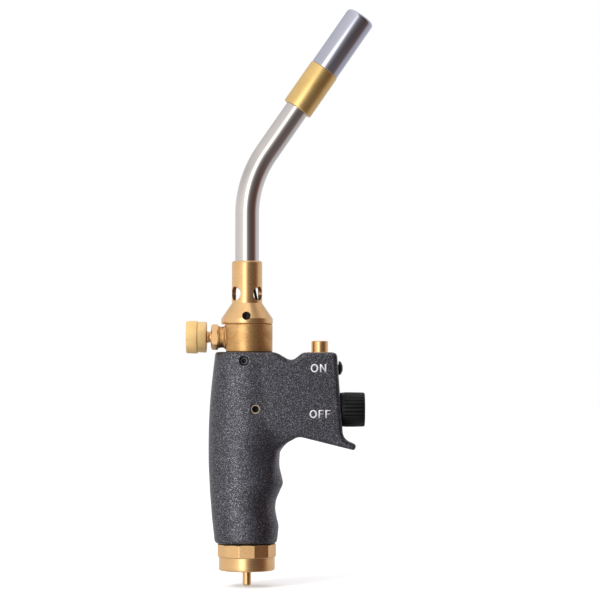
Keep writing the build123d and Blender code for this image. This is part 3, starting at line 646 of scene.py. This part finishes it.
def surface_net(values, start, step):
    """Quads round the zero level of a grid of distances, one point in each cell that it crosses."""
    inside = values < 0
    cells = tuple(n - 1 for n in values.shape)
    corner = {at: tuple(slice(a, a + n) for a, n in zip(at, cells)) for at in np.ndindex(2, 2, 2)}
    filled = sum(inside[s].astype(np.int8) for s in corner.values())
    mixed = np.nonzero((filled > 0) & (filled < 8))
    index = np.full(cells, -1, np.int64)
    index[mixed] = np.arange(len(mixed[0]))
    total = np.zeros((len(mixed[0]), 3))
    count = np.zeros(len(mixed[0]))
    for first in corner:
        for axis in range(3):
            if first[axis]:
                continue
            second = tuple(1 if a == axis else first[a] for a in range(3))
            va, vb = values[corner[first]][mixed], values[corner[second]][mixed]
            crossed = (va < 0) != (vb < 0)
            t = np.where(crossed, va / np.where(crossed, va - vb, 1), 0)
            point = np.tile(np.array(first, float), (len(t), 1))
            point[:, axis] = t
            total += point * crossed[:, None]
            count += crossed
    points = np.stack(mixed, 1) + total / count[:, None]
    faces = []
    for axis in range(3):
        u, v = (axis + 1) % 3, (axis + 2) % 3
        change = np.diff(inside, axis=axis)
        for rim, side in ((0, u), (0, v), (-1, u), (-1, v)):
            change[tuple(rim if a == side else slice(None) for a in range(3))] = False
        where = np.stack(np.nonzero(change), 1)
        out = inside[tuple(where.T)]
        step_u, step_v = np.eye(3, dtype=int)[u], np.eye(3, dtype=int)[v]
        ring = [where - step_u - step_v, where - step_v, where, where - step_u]
        quad = np.stack([index[tuple(cell.T)] for cell in ring], 1)
        quad[~out] = quad[~out][:, ::-1]
        faces.append(quad)
    return points * step + start, np.concatenate(faces)


def onto_surface(points, distance, rounds=3, feel=0.05):
    """Moves points onto the zero level of a distance, in small steps along its slope."""
    for _ in range(rounds):
        here = distance(*points.T)
        ahead, behind = ([distance(*(points + step).T) for step in way * np.eye(3)] for way in (feel, -feel))
        slope = (np.array(ahead) - np.array(behind)).T / (2 * feel)
        size = np.maximum((slope ** 2).sum(1), 0.25)
        move = -(here / size)[:, None] * slope
        points = points + np.clip(move, -0.3 * GRID_STEP, 0.3 * GRID_STEP)
    return points


def make_handle():
    step = GRID_STEP * 1
    start = np.array([-24.0, -19.0, HANDLE_BOTTOM - 2.0])
    end = np.array([66.0, 19.0, HANDLE_TOP + 2.0])
    x, y, z = (np.arange(a, b, step) for a, b in zip(start, end))
    values = handle_distance(x[:, None, None], y[None, :, None], z[None, None, :])
    points, faces = surface_net(values, start, step)
    points = onto_surface(points, handle_distance)
    handle = new_object("handle", points, faces.tolist(), sharp=60)
    face_outward(handle)
    return settle(handle, "handle_coat", "handle", "handle_coat", "handle_casting")


# outlines of the printed letters, in shares of the height; O is a ring, made apart
STROKE = 0.185
LETTERS = {
    "N": [(0, 0), (STROKE, 0), (STROKE, 0.72), (0.62, 0), (0.78, 0), (0.78, 1), (0.78 - STROKE, 1),
          (0.78 - STROKE, 0.28),
          (0.16, 1), (0, 1)],
    "F": [(0, 0), (STROKE, 0), (STROKE, 0.43), (0.58, 0.43), (0.58, 0.57), (STROKE, 0.57), (STROKE, 0.86),
          (0.66, 0.86),
          (0.66, 1), (0, 1)],
}
LETTER_WIDTH = {"O": 0.94, "N": 0.78, "F": 0.66}
LETTER_GAP = 0.2


def label_depth(x, z):
    """Depth of the handle's front skin at a place on the lobe."""
    inner, outer = 5.0, 20.0
    for _ in range(24):
        middle = (inner + outer) / 2
        if handle_distance(np.array([x]), np.array([-middle]), np.array([z]))[0] < 0:
            inner = middle
        else:
            outer = middle
    return outer + 0.01


def make_label(text, x, z, height):
    """Printed word on the front of the lobe, as thin raised ink."""
    width = sum(LETTER_WIDTH[letter] for letter in text) + LETTER_GAP * (len(text) - 1)
    cursor = -width / 2
    points, faces = [], []
    for letter in text:
        first = len(points)
        if letter == "O":
            count = 48
            half = LETTER_WIDTH["O"] / 2
            for inset in (0.0, STROKE):
                for angle in even_angles(count):
                    u = cursor + half + (half - inset) * cos(angle)
                    points.append((u, 0.5 + (0.52 - inset * 0.92) * sin(angle)))
            for i in range(count):
                j = (i + 1) % count
                faces.append((first + i, first + j, first + count + j, first + count + i))
        else:
            points += [(cursor + u, v) for u, v in LETTERS[letter]]
            faces.append(tuple(range(first, len(points))))
        cursor += LETTER_WIDTH[letter] + LETTER_GAP
    placed = []
    for u, v in points:
        across, up = x + u * height, z + (v - 0.5) * height
        placed.append((across, -label_depth(across, up), up))
    label = new_object("label_" + text.lower(), placed, faces)
    thick = label.modifiers.new("ink", "SOLIDIFY")
    thick.thickness = 0.09 * MM
    thick.offset = 0
    bake(label)
    return settle(label, "ink", "handle", "handle_coat")


# ---------------- inlet
def thread_radius(angle, height):
    """Inner wall of the cylinder thread, a real helix that runs out at both ends."""
    phase = (height / THREAD_PITCH - angle / FULL_TURN) % 1.0
    groove = 1 - abs(2 * phase - 1)
    fade = min(1.0, (height - NUT_MOUTH - 0.4) / 1.2, (THREAD_FLOOR - 0.9 - height) / 1.0)
    return THREAD_R + THREAD_DEPTH * max(fade, 0.0) * min(groove * 1.25, 1.0)


def make_cylinder_nut():
    sides = 12
    chamfer_start = NUT_FLATS / 2 - 0.15
    chamfer_slope = tan(radians(30))
    turn = NUT_TURN - pi / 2
    thread = [THREAD_FLOOR - 0.8 - 0.15 * i for i in range(54)]

    def ring(angle):
        corner = polygon_radius(angle, NUT_FLATS, sides, 0.5, turn)
        drop = (corner - chamfer_start) * chamfer_slope
        wall = [(thread_radius(angle, height), height) for height in thread]
        return [
            (THREAD_R + 1.0, NUT_MOUTH), (NUT_R - 0.9, NUT_MOUTH), (NUT_R - 0.45, NUT_MOUTH + 0.12),
            (NUT_R - 0.12, NUT_MOUTH + 0.45), (NUT_R, NUT_MOUTH + 0.9), (NUT_R, 4.0), (NUT_R, 6.5),
            (NUT_R, NUT_SKIRT_TOP - 0.25),
            (NUT_R + 0.12, NUT_SKIRT_TOP), (corner - 0.12, NUT_SKIRT_TOP + 0.05 + drop * 0.4),
            (corner, NUT_SKIRT_TOP + 0.2 + drop * 0.4), (corner, 11.8), (corner, 14.2),
            (corner, NUT_TOP - 0.12 - drop), (corner - 0.1, NUT_TOP - drop),
            (chamfer_start, NUT_TOP), (HUB_R, NUT_TOP), (HUB_R, 30.0), (5.0, 30.0), (5.0, 22.0),
            (4.03, 22.0), (4.03, THREAD_FLOOR), (THREAD_R, THREAD_FLOOR),
        ] + wall + [(THREAD_R, NUT_MOUTH + 0.7), (THREAD_R + 0.7, NUT_MOUTH + 0.1)]

    nut = spin("inlet_nut", ring, angles=polygon_angles(sides, turn), closed=True, sharp=24)
    return settle(nut, "brass", "handle", "brass", "cylinder_nut")


def make_probe():
    tip = low("valve_probe").z
    radius = 2.45
    top = high("valve_probe").z
    hex_bottom, hex_top = 8.0, THREAD_FLOOR

    def ring(angle):
        flange = polygon_radius(angle, 8.0, 6, 0.3)
        return [
            (0.9, tip + 0.35), (1.15, tip + 0.1), (1.5, tip), (1.85, tip + 0.12), (2.2, tip + 0.45),
            (radius - 0.05, tip + 0.8),
            (radius, tip + 1.1), (radius, tip + 6), (radius, hex_bottom - 0.3), (radius + 0.3, hex_bottom),
            (flange - 0.2, hex_bottom), (flange, hex_bottom + 0.2), (flange, hex_top), (4.0, hex_top),
            (4.0, top),
            (0.9, top), (0.9, (tip + top) / 2),
        ]

    probe = spin("probe", ring, angles=polygon_angles(6, on_flat=14), closed=True)
    return settle(probe, "brass", "handle", "brass", "valve_probe")


# ---------------- shut-off and igniter
def make_shutoff_knob():
    ribs = 28
    skirt_end = KNOB_START + 3.3
    groove_depth = 0.5
    groove_share = 0.42
    edge = 0.9
    front_r = KNOB_R - 0.15
    screw_face = high("shutoff_knob_screw").x - 1.9

    def ring(angle):
        phase = (angle / FULL_TURN * ribs) % 1.0
        inside = abs(phase - 0.5) / (groove_share / 2)
        groove = groove_depth * (cos(min(inside, 1.0) * pi) + 1) / 2

        def ribbed(radius, share=1.0):
            return radius - groove * share

        return [
            (2.53, KNOB_START), (8.4, KNOB_START), (8.9, KNOB_START + 0.12), (9.35, KNOB_START + 0.5),
            (KNOB_R - 0.25, KNOB_START + 1.2), (KNOB_R - 0.1, skirt_end - 0.6),
            (KNOB_R - 0.12, skirt_end - 0.25),
            (ribbed(KNOB_R - 0.05, 0.55), skirt_end), (ribbed(KNOB_R), skirt_end + 0.35),
            (ribbed(KNOB_R), skirt_end + 4),
            (ribbed(KNOB_R - 0.06), KNOB_END - 4.0), (ribbed(front_r), KNOB_END - edge),
            (ribbed(front_r - 0.12, 0.9), KNOB_END - edge * 0.62),
            (ribbed(front_r - 0.36, 0.6), KNOB_END - edge * 0.24),
            (ribbed(front_r - 0.66, 0.2), KNOB_END - edge * 0.05), (front_r - 1.1, KNOB_END),
            (7.6, KNOB_END), (7.35, KNOB_END - 0.1), (7.2, KNOB_END - 0.35), (5.0, KNOB_END - 0.35),
            (4.7, KNOB_END - 0.45),
            (4.5, KNOB_END - 0.7), (4.5, screw_face), (1.5, screw_face), (1.5, screw_face - 1),
            (2.53, screw_face - 1),
        ]

    place = along((1, 0, 0), (0, 0, SHUTOFF_Z))
    knob = spin("side_knob", ring, place, angles=ribs * 12, closed=True, sharp=40)
    return settle(knob, "black_knob", "shutoff_control", "black_knob", "shutoff_knob")


def make_button():
    bottom = low("igniter_button").z
    top = high("igniter_button").z
    radius = 4.75
    flange_r, flange_top = 6.2, bottom + 2.4
    outline = rounded([
        (0, bottom, 0), (flange_r, bottom, 0.2), (flange_r, flange_top, 0.2), (radius, flange_top, 0),
        (radius, top, 0.7),
        (1.6, top, 0.0), (1.2, top - 0.12, 0.0), (0, top - 0.16, 0),
    ], closed=False)
    button = lathe("spark_button", outline, along((0, 0, 1), (IGNITER_X, 0, 0)))
    return settle(button, "brass", "ignition_button", "brass", "igniter_button")


def make_bush():
    bottom = low("button_bush").z
    shoulder = bottom + 7.1
    outer_r, flange_bore_r, bore_r = 7.17, 6.35, 4.8
    outline = rounded([
        (flange_bore_r, bottom, 0.1), (outer_r, bottom, 0.1), (outer_r, LOBE_TOP, 0.25), (bore_r, LOBE_TOP, 0.3),
        (bore_r, shoulder, 0.1), (flange_bore_r, shoulder, 0.1),
    ])
    bush = lathe("guide_bush", outline, along((0, 0, 1), (IGNITER_X, 0, 0)), closed=True)
    return settle(bush, "satin_brass", "handle", "brass", "button_bush")


def make_dome_screw():
    centre = centre_of("igniter_screw")
    seat = high("igniter_screw").x - 2.4
    start = low("igniter_screw").x

    def ring(angle):
        socket = polygon_radius(angle, 2.5, 6, 0.12)
        head_r = 4.0
        angles = [radians(degrees) for degrees in range(12, 72, 12)]
        dome = [(head_r * cos(a), seat + 0.35 + 2.05 * sin(a)) for a in angles]
        return [
            (0, start), (2.0, start), (2.0, seat), (head_r - 0.2, seat), (head_r, seat + 0.2),
            (head_r, seat + 0.4),
            *dome, (socket + 0.12, seat + 2.38), (socket, seat + 2.26), (socket, seat + 1.1), (0, seat + 0.9),
        ]

    screw = spin("dome_screw", ring, along((1, 0, 0), (0, 0, centre.z)), angles=polygon_angles(6, on_flat=14))
    return settle(screw, "black_screw", "handle", "black_screw", "igniter_screw")


def make_set_screw(name, node, edge="black_screw"):
    """Set screw with a hexagon socket that faces the front, its rim ring in the edge material, such as worn
    bright steel.
    """
    lo, hi, centre = low(node), high(node), centre_of(node)
    face, end = -lo.y, -hi.y
    radius = (hi.x - lo.x) / 2
    worn = (radius - 0.75, radius - 0.2)

    def ring(angle):
        socket = polygon_radius(angle, 2.0, 6, 0.1)
        return [(0, end), (radius - 0.4, end), (radius, end + 0.4), (radius, face - 0.5),
                (radius - 0.15, face - 0.15),
                (worn[1] - 0.15, face), (worn[0], face - 0.05), (worn[0] - 0.15, face - 0.35),
                (socket + 0.2, face - 0.35),
                (socket, face - 0.5), (socket, face - 1.9), (0, face - 2.2)]

    screw = spin(name, ring, along((0, -1, 0), (centre.x, 0, centre.z)), angles=polygon_angles(6, on_flat=14))
    settle(screw, "black_screw", "handle", "black_screw", node)
    return touch_up(screw, edge, worn[0] - 0.02, worn[1], face - 0.2)


def make_hollow_pin():
    """Drilled pin with a bright lip. Its bore, closed at the back, is painted black as painted shade in the
    hole.
    """
    lo, hi = low("hollow_pin"), high("hollow_pin")
    radius = (hi.x - lo.x) / 2
    bore = 1.95
    outline = rounded([
        (0, -hi.y, 0), (radius, -hi.y, 0.1), (radius, -lo.y, 0.35), (bore, -lo.y, 0.3),
        (bore, -hi.y + 1.0, 0.1),
        (0, -hi.y + 1.0, 0)], closed=False)
    pin = lathe("drilled_pin", outline, along((0, -1, 0), (PIN.x, 0, PIN.z)), angles=64)
    settle(pin, "pale_brass", "handle", "brass", "hollow_pin")
    # painted shade: the bore's walls and floor take the black screw material, so the hole looks dark as if in
    # shade
    return touch_up(pin, "black_screw", -1, bore + 0.05, -hi.y + 0.5)


# ---------------- flame valve
FLAME_AXIS = along((-1, 0, 0), (0, 0, FLAME_Z))
BODY_R = 14.6
BODY_FLAT = 11.7
BOSS_END = -low("flame_valve_body").x


def make_valve_body():
    spigot = low("flame_valve_body").z
    mixer_spigot = high("flame_valve_body").z
    spigot_r = BORE_R - 0.03
    bottom, top = HANDLE_TOP + 0.02, BODY_TOP - 0.02
    outline = rounded([
        (0, spigot, 0), (spigot_r, spigot, 0.4), (spigot_r, bottom, 0), (BODY_R, bottom, 0.5),
        (BODY_R, top, 0.5), (spigot_r, top, 0), (spigot_r, mixer_spigot, 0.4), (0, mixer_spigot, 0),
    ], closed=False)
    body = lathe("valve_body", outline, angles=192)
    flat = block((-BODY_R - 5, -20, HANDLE_TOP - 0.5), (-BODY_FLAT, 20, BODY_TOP + 0.5))
    combine(body, flat, "DIFFERENCE")
    soften(body, 0.35, 3)
    foot_r, neck_r, rim_r = 7.15, 6.05, 6.35
    boss = rounded([
        (0, BODY_FLAT - 3, 0), (foot_r, BODY_FLAT - 3, 0), (foot_r, BODY_FLAT + 0.5, 0.4),
        (neck_r, BODY_FLAT + 1.6, 1.2), (neck_r, BOSS_END - 0.9, 0.5), (rim_r, BOSS_END - 0.5, 0.2),
        (rim_r, BOSS_END, 0.2), (0, BOSS_END, 0),
    ], closed=False)
    combine(body, lathe("cutter", boss, FLAME_AXIS, angles=128), "UNION")
    combine(body, rod(5.02, 9.0, BOSS_END + 1, FLAME_AXIS), "DIFFERENCE")
    combine(body, rod(3.3, 5.5, 9.5, FLAME_AXIS), "DIFFERENCE")
    return settle(body, "valve_body", "handle", "brass", "flame_valve_body")


def make_gland_nut():
    flats = 13.0
    inner, outer = BOSS_END, -low("flame_gland_nut").x
    seat = flats / 2 - 0.1
    slope = tan(radians(30))
    turn = radians(-6)

    def ring(angle):
        corner = polygon_radius(angle, flats, 6, 0.9, turn)
        drop = max(corner - seat, 0) * slope
        return [
            (3.26, 9.6), (4.95, 9.6), (4.95, inner), (seat - 0.2, inner), (seat, inner + 0.08),
            (corner, inner + 0.1 + drop),
            (corner, (inner + outer) / 2), (corner, outer - 0.15 - drop), (seat, outer - 0.05),
            (seat - 0.3, outer),
            (3.8, outer), (3.5, outer - 0.12), (3.26, outer - 0.4),
        ]

    angles = polygon_angles(6, turn, 18, 12, 0.24)
    nut = spin("gland_nut", ring, FLAME_AXIS, angles, closed=True, sharp=24)
    return settle(nut, "satin_brass", "handle", "brass", "flame_gland_nut")


def make_stem():
    inner, outer = -high("flame_stem").x, -low("flame_stem").x
    needle_r, shaft_r, groove_r, collar_r = 2.0, 3.2, 2.2, 3.3
    outline = rounded([
        (0, inner, 0), (0.15, inner, 0), (needle_r, inner + 3.9, 0), (shaft_r, inner + 3.9, 0.1),
        (shaft_r, 11.4, 0.05), (groove_r, 11.4, 0.05), (groove_r, 13.0, 0.05), (shaft_r, 13.0, 0.05),
        (shaft_r, 21.4, 0.35), (2.7, 21.5, 0.1), (2.7, 21.7, 0.1), (collar_r, 21.8, 0.35), (collar_r, 23.0, 0.3),
        (needle_r, 23.08, 0), (needle_r, outer, 0.2), (0, outer, 0),
    ], closed=False)
    stem = lathe("needle_stem", outline, FLAME_AXIS, angles=96)
    return settle(stem, "brass", "flame_control", "brass", "flame_stem")


def make_flame_knob():
    inner, outer = -high("flame_knob").x, -low("flame_knob").x
    radius = (high("flame_knob").z - low("flame_knob").z) / 2
    hub_r = 8.7
    step = outer - 6.5
    teeth = 96
    depth = 0.16

    def ring(angle):
        phase = (angle / FULL_TURN * teeth) % 1.0
        groove = depth * (1 - abs(2 * phase - 1))
        return [
            (2.03, inner), (3.6, inner), (3.9, inner + 0.25), (hub_r - 1.2, inner + 0.25),
            (hub_r - 0.9, inner),
            (hub_r - 0.35, inner), (hub_r, inner + 0.15), (hub_r + 0.15, inner + 0.5),
            (hub_r - 0.05, step - 0.25),
            (hub_r, step), (radius - 0.35, step), (radius - 0.08 - groove * 0.5, step + 0.25),
            (radius - groove, step + 0.55), (radius - 0.05 - groove, (step + outer) / 2),
            (radius - 0.15 - groove, outer - 0.6),
            (radius - 0.25 - groove * 0.5, outer - 0.25), (radius - 0.6, outer), (6.6, outer),
            (6.4, outer - 0.12),
            (6.2, outer - 0.3), (3.8, outer - 0.3), (3.5, outer - 0.4), (3.3, outer - 0.6),
            (3.3, outer - 2.2),
            (1.5, outer - 2.2), (1.5, outer - 4.0), (2.03, outer - 4.0),
        ]

    knob = spin("flame_control_knob", ring, FLAME_AXIS, angles=teeth * 4, closed=True, sharp=40)
    return settle(knob, "knob_brass", "flame_control", "brass", "flame_knob")


# ---------------- mixer and burner
def make_mixer():
    rim_r = (high("mixer_cone").x - low("mixer_cone").x) / 2
    neck_r, neck_z = 8.7, 153.8
    tube_r, tube_seat_z = TUBE_R + 0.03, 166.0
    throat_r, throat_z = 6.3, 157.0
    hole_z = 159.2
    outline = rounded([
        (BORE_R, BODY_TOP, 0.2), (rim_r - 0.7, BODY_TOP, 0), (rim_r - 0.15, BODY_TOP + 0.35, 0.2),
        (rim_r, BODY_TOP + 0.9, 0.2), (rim_r, BODY_TOP + 3.2, 0.5), (neck_r, neck_z, 0.5),
        (neck_r, MIXER_TOP, 1.25), (6.9, MIXER_TOP, 0.3), (tube_r, tube_seat_z, 0.1),
        (throat_r, tube_seat_z, 0.1), (throat_r, throat_z, 1.0), (BORE_R, 149.5, 0.5),
    ])
    mixer = lathe("mixer", outline, angles=256, closed=True)
    for degrees in (39, 141, 219, 321):
        turn = radians(degrees)
        hole = rod(4.0, 2.0, 12.0, along((cos(turn), sin(turn), 0), (0, 0, hole_z)), 64)
        combine(mixer, hole, "DIFFERENCE")
    screw = centre_of("mixer_grub_screw")
    combine(mixer, rod(2.4, 8.0, 16.0, along((0, -1, 0), (screw.x, 0, screw.z)), 64), "DIFFERENCE")
    soften(mixer, 0.16)
    return settle(mixer, "brass", "handle", "brass", "mixer_cone")


def burner_place():
    return along((sin(BEND_ANGLE), 0, cos(BEND_ANGLE)), (0, 0, BEND_CORNER_Z))


def tube_line(end):
    """Points along the tube's centre line with their directions: straight, bend, straight."""
    tangent = BEND_R * tan(BEND_ANGLE / 2)
    start = low("burner_tube").z
    bend_start = BEND_CORNER_Z - tangent
    line = [((0.0, start + (bend_start - start) * i / 6), 0.0) for i in range(6)]
    bends = 28
    for i in range(bends + 1):
        angle = BEND_ANGLE * i / bends
        line.append(((BEND_R * (1 - cos(angle)), bend_start + BEND_R * sin(angle)), angle))
    for i in range(1, 6):
        reach = tangent + (end - tangent) * i / 5
        line.append(((reach * sin(BEND_ANGLE), BEND_CORNER_Z + reach * cos(BEND_ANGLE)), BEND_ANGLE))
    return line


def make_tube():
    wall = 1.0
    count = 112
    line = tube_line(TUBE_END)
    rings = [(*place, TUBE_R) for place in line] + [(*place, TUBE_R - wall) for place in reversed(line)]
    points, faces = [], []
    for (x, z), slant, radius in rings:
        for angle in even_angles(count):
            across, deep = radius * cos(angle), radius * sin(angle)
            points.append((x + across * cos(slant), deep, z - across * sin(slant)))
    for ring in range(len(rings)):
        a, b = ring * count, (ring + 1) % len(rings) * count
        for i in range(count):
            j = (i + 1) % count
            faces.append((a + i, a + j, b + j, b + i))
    tube = new_object("bent_tube", points, faces)
    face_outward(tube)
    return settle(tube, "stainless", "handle", "stainless", "burner_tube")


def make_coupling():
    outline = rounded([
        (TUBE_R + 0.03, COUPLING_START, 0.25), (COUPLING_R, COUPLING_START, 0.45),
        (COUPLING_R, COUPLING_END, 0.45), (TIP_SOCKET_R, COUPLING_END, 0.1),
        (TIP_SOCKET_R, COUPLING_STOP, 0.1), (TIP_BORE_R, COUPLING_STOP, 0.1),
        (TIP_BORE_R, TUBE_END, 0.1), (TUBE_R + 0.03, TUBE_END, 0.1),
    ])
    coupling = lathe("coupling", outline, burner_place(), angles=160, closed=True)
    return settle(coupling, "yellow_brass", "handle", "brass", "tip_coupling")


def make_tip():
    holder = TIP_END - 33.0
    start, shoulder, lip = COUPLING_STOP + 0.2, COUPLING_END + 0.02, TIP_END - 3.0
    mouth_r, chamber_r, spigot_r = 6.0, 7.6, TIP_SOCKET_R - 0.03
    outline = rounded([
        (TIP_BORE_R, start, 0.1), (spigot_r, start, 0.2), (spigot_r, shoulder, 0), (TIP_R, shoulder, 0.35),
        (TIP_R, TIP_END, 2.1), (mouth_r, TIP_END, 0.4), (mouth_r, lip, 0.6), (chamber_r, lip, 0.3),
        (chamber_r, holder, 0.1), (TIP_BORE_R, holder, 0.1),
    ], steps=7)
    tip = lathe("tip", outline, burner_place(), angles=160, closed=True, sharp=50)
    return settle(tip, "plated_tip", "handle", "plated_tip", "burner_tip")


# ---------------- CAD nodes that stay as they are
def finish_cad_nodes():
    """Every CAD node that is still shown takes the material of its slot."""
    for entry in frame["record"]["subparts"]:
        node = frame["nodes"][entry["node"]]
        node.data.materials.clear()
        node.data.materials.append(MATERIALS[entry["material_slot"]])
        shade(node.data)


# ---------------- stage
def make_floor():
    shader = Shader("floor")
    grain = shader.noise(9.0, 2.0)
    colour = shader.mix(grain, srgb(246, 246, 247), srgb(250, 250, 250))
    shader.set(Base_Color=colour, Roughness=0.85)
    shader.set(Emission_Color=(1, 1, 1, 1), Emission_Strength=0.32)
    reach = 6.0
    mesh = bpy.data.meshes.new("floor")
    corners = [(-reach, -reach, 0), (reach, -reach, 0), (reach, reach, 0), (-reach, reach, 0)]
    mesh.from_pydata(corners, [], [(0, 1, 2, 3)])
    mesh.materials.append(shader.material)
    floor = bpy.data.objects.new("floor", mesh)
    bpy.context.collection.objects.link(floor)
    floor.location.z = FLOOR_Z * MM
    # the pale floor is seen and takes the shadow, and leaves the studio's sides to light the object
    floor.visible_glossy = False
    floor.visible_diffuse = False


def make_world():
    """Pale studio round the object, bright on the camera's left and dark on its right."""
    world = bpy.data.worlds.new("studio")
    bpy.context.scene.world = world
    shader = Shader("studio", world)
    math, ramp = shader.math, shader.ramp
    place = shader.add("ShaderNodeTexCoord").outputs["Generated"]
    right, back, up = shader.add("ShaderNodeSeparateXYZ", {0: place}).outputs
    # the edge between bright and dark leans to the right above and below the object
    lean = math("MULTIPLY", math("MULTIPLY", up, up), 0.3)
    turn = math("ARCTAN2", math("SUBTRACT", right, lean), math("MULTIPLY", back, -1.0))
    share = math("ADD", math("DIVIDE", turn, FULL_TURN), 0.5)
    height = math("ADD", math("MULTIPLY", up, 0.5), 0.5)

    def around(*stops):
        """Ramp whose stops are degrees from the camera's side towards +X."""
        return ramp(share, *[((degrees + 180) / 360, colour) for degrees, colour in stops])

    sides = around(
        (-180, (0.78, 0.78, 0.80)), (-128, (0.84, 0.83, 0.84)), (-90, (0.88, 0.86, 0.84)),
        (-62, (0.97, 0.94, 0.91)), (-44, (1.12, 1.09, 1.04)), (-28, (1.25, 1.22, 1.17)),
        (-8, (1.22, 1.20, 1.15)), (-2, (0.95, 0.93, 0.90)), (3, (0.50, 0.47, 0.46)),
        (10, (0.29, 0.265, 0.26)), (24, (0.155, 0.135, 0.13)), (44, (0.115, 0.09, 0.08)),
        (60, (0.14, 0.07, 0.05)), (76, (0.18, 0.10, 0.08)), (87, (0.38, 0.30, 0.29)),
        (99, (0.68, 0.66, 0.68)), (116, (0.76, 0.75, 0.77)), (180, (0.78, 0.78, 0.80)))
    level = ramp(
        height, (0.0, (0.45, 0.45, 0.47)), (0.3, (0.68, 0.68, 0.70)), (0.44, 0.97), (0.5, 1.0), (0.58, 1.0),
        (0.7, 0.82), (1.0, 0.8))
    # a tall bright window, a little left of the camera
    window = around((-35, 0.0), (-27, 1.2), (-12, 1.5), (-5, 0.0))
    window_height = ramp(height, (0.25, 0.0), (0.36, 1.0), (0.64, 1.0), (0.76, 0.0))
    overhead = ramp(height, (0.0, 0.12), (0.25, 0.1), (0.42, 0.0), (0.72, 0.0), (0.95, (0.3, 0.3, 0.31)))
    shaded = shader.mix(1.0, sides, level, "MULTIPLY")
    lit = shader.mix(1.0, shaded, shader.mix(1.0, window, window_height, "MULTIPLY"), "ADD")
    lifted = shader.mix(1.0, lit, overhead, "ADD")
    seen = shader.add("ShaderNodeLightPath").outputs["Is Camera Ray"]
    shader.set(Color=shader.mix(seen, lifted, (1, 1, 1, 1)))


AIM = Vector((30.35, 0.0, 155.7)) * MM
CAMERA_DISTANCE = 1.213
CAMERA_ELEVATION = radians(-2.0)


def make_key_light():
    light = bpy.data.lights.new("key", "AREA")
    light.size = 0.5
    light.energy = 8.0
    lamp = bpy.data.objects.new("key", light)
    bpy.context.collection.objects.link(lamp)
    lamp.location = (-0.75, -0.85, 1.0)
    lamp.rotation_euler = (AIM - lamp.location).to_track_quat("-Z", "Y").to_euler()
    lamp.visible_glossy = False


def make_camera():
    camera = bpy.data.cameras.new("camera")
    camera.sensor_width = 36.0
    camera.lens = 127.0
    holder = bpy.data.objects.new("camera", camera)
    bpy.context.collection.objects.link(holder)
    back = Vector((0, -cos(CAMERA_ELEVATION), sin(CAMERA_ELEVATION)))
    holder.location = AIM + back * CAMERA_DISTANCE
    holder.rotation_euler = (-back).to_track_quat("-Z", "Y").to_euler()
    bpy.context.scene.camera = holder


def main():
    make_camera()
    finish_cad_nodes()
    make_handle()
    make_label("ON", 40.85, 116.6, 4.6)
    make_label("OFF", 41.75, 90.7, 4.5)
    make_cylinder_nut()
    make_probe()
    make_shutoff_knob()
    make_button()
    make_bush()
    make_dome_screw()
    make_set_screw("handle_set_screw", "handle_grub_screw", "worn_edge")
    make_set_screw("mixer_set_screw", "mixer_grub_screw")
    make_hollow_pin()
    make_valve_body()
    make_gland_nut()
    make_stem()
    make_flame_knob()
    make_mixer()
    make_tube()
    make_coupling()
    make_tip()
    make_floor()
    make_world()
    make_key_light()
    bpy.context.scene.view_settings.view_transform = "Standard"


main()
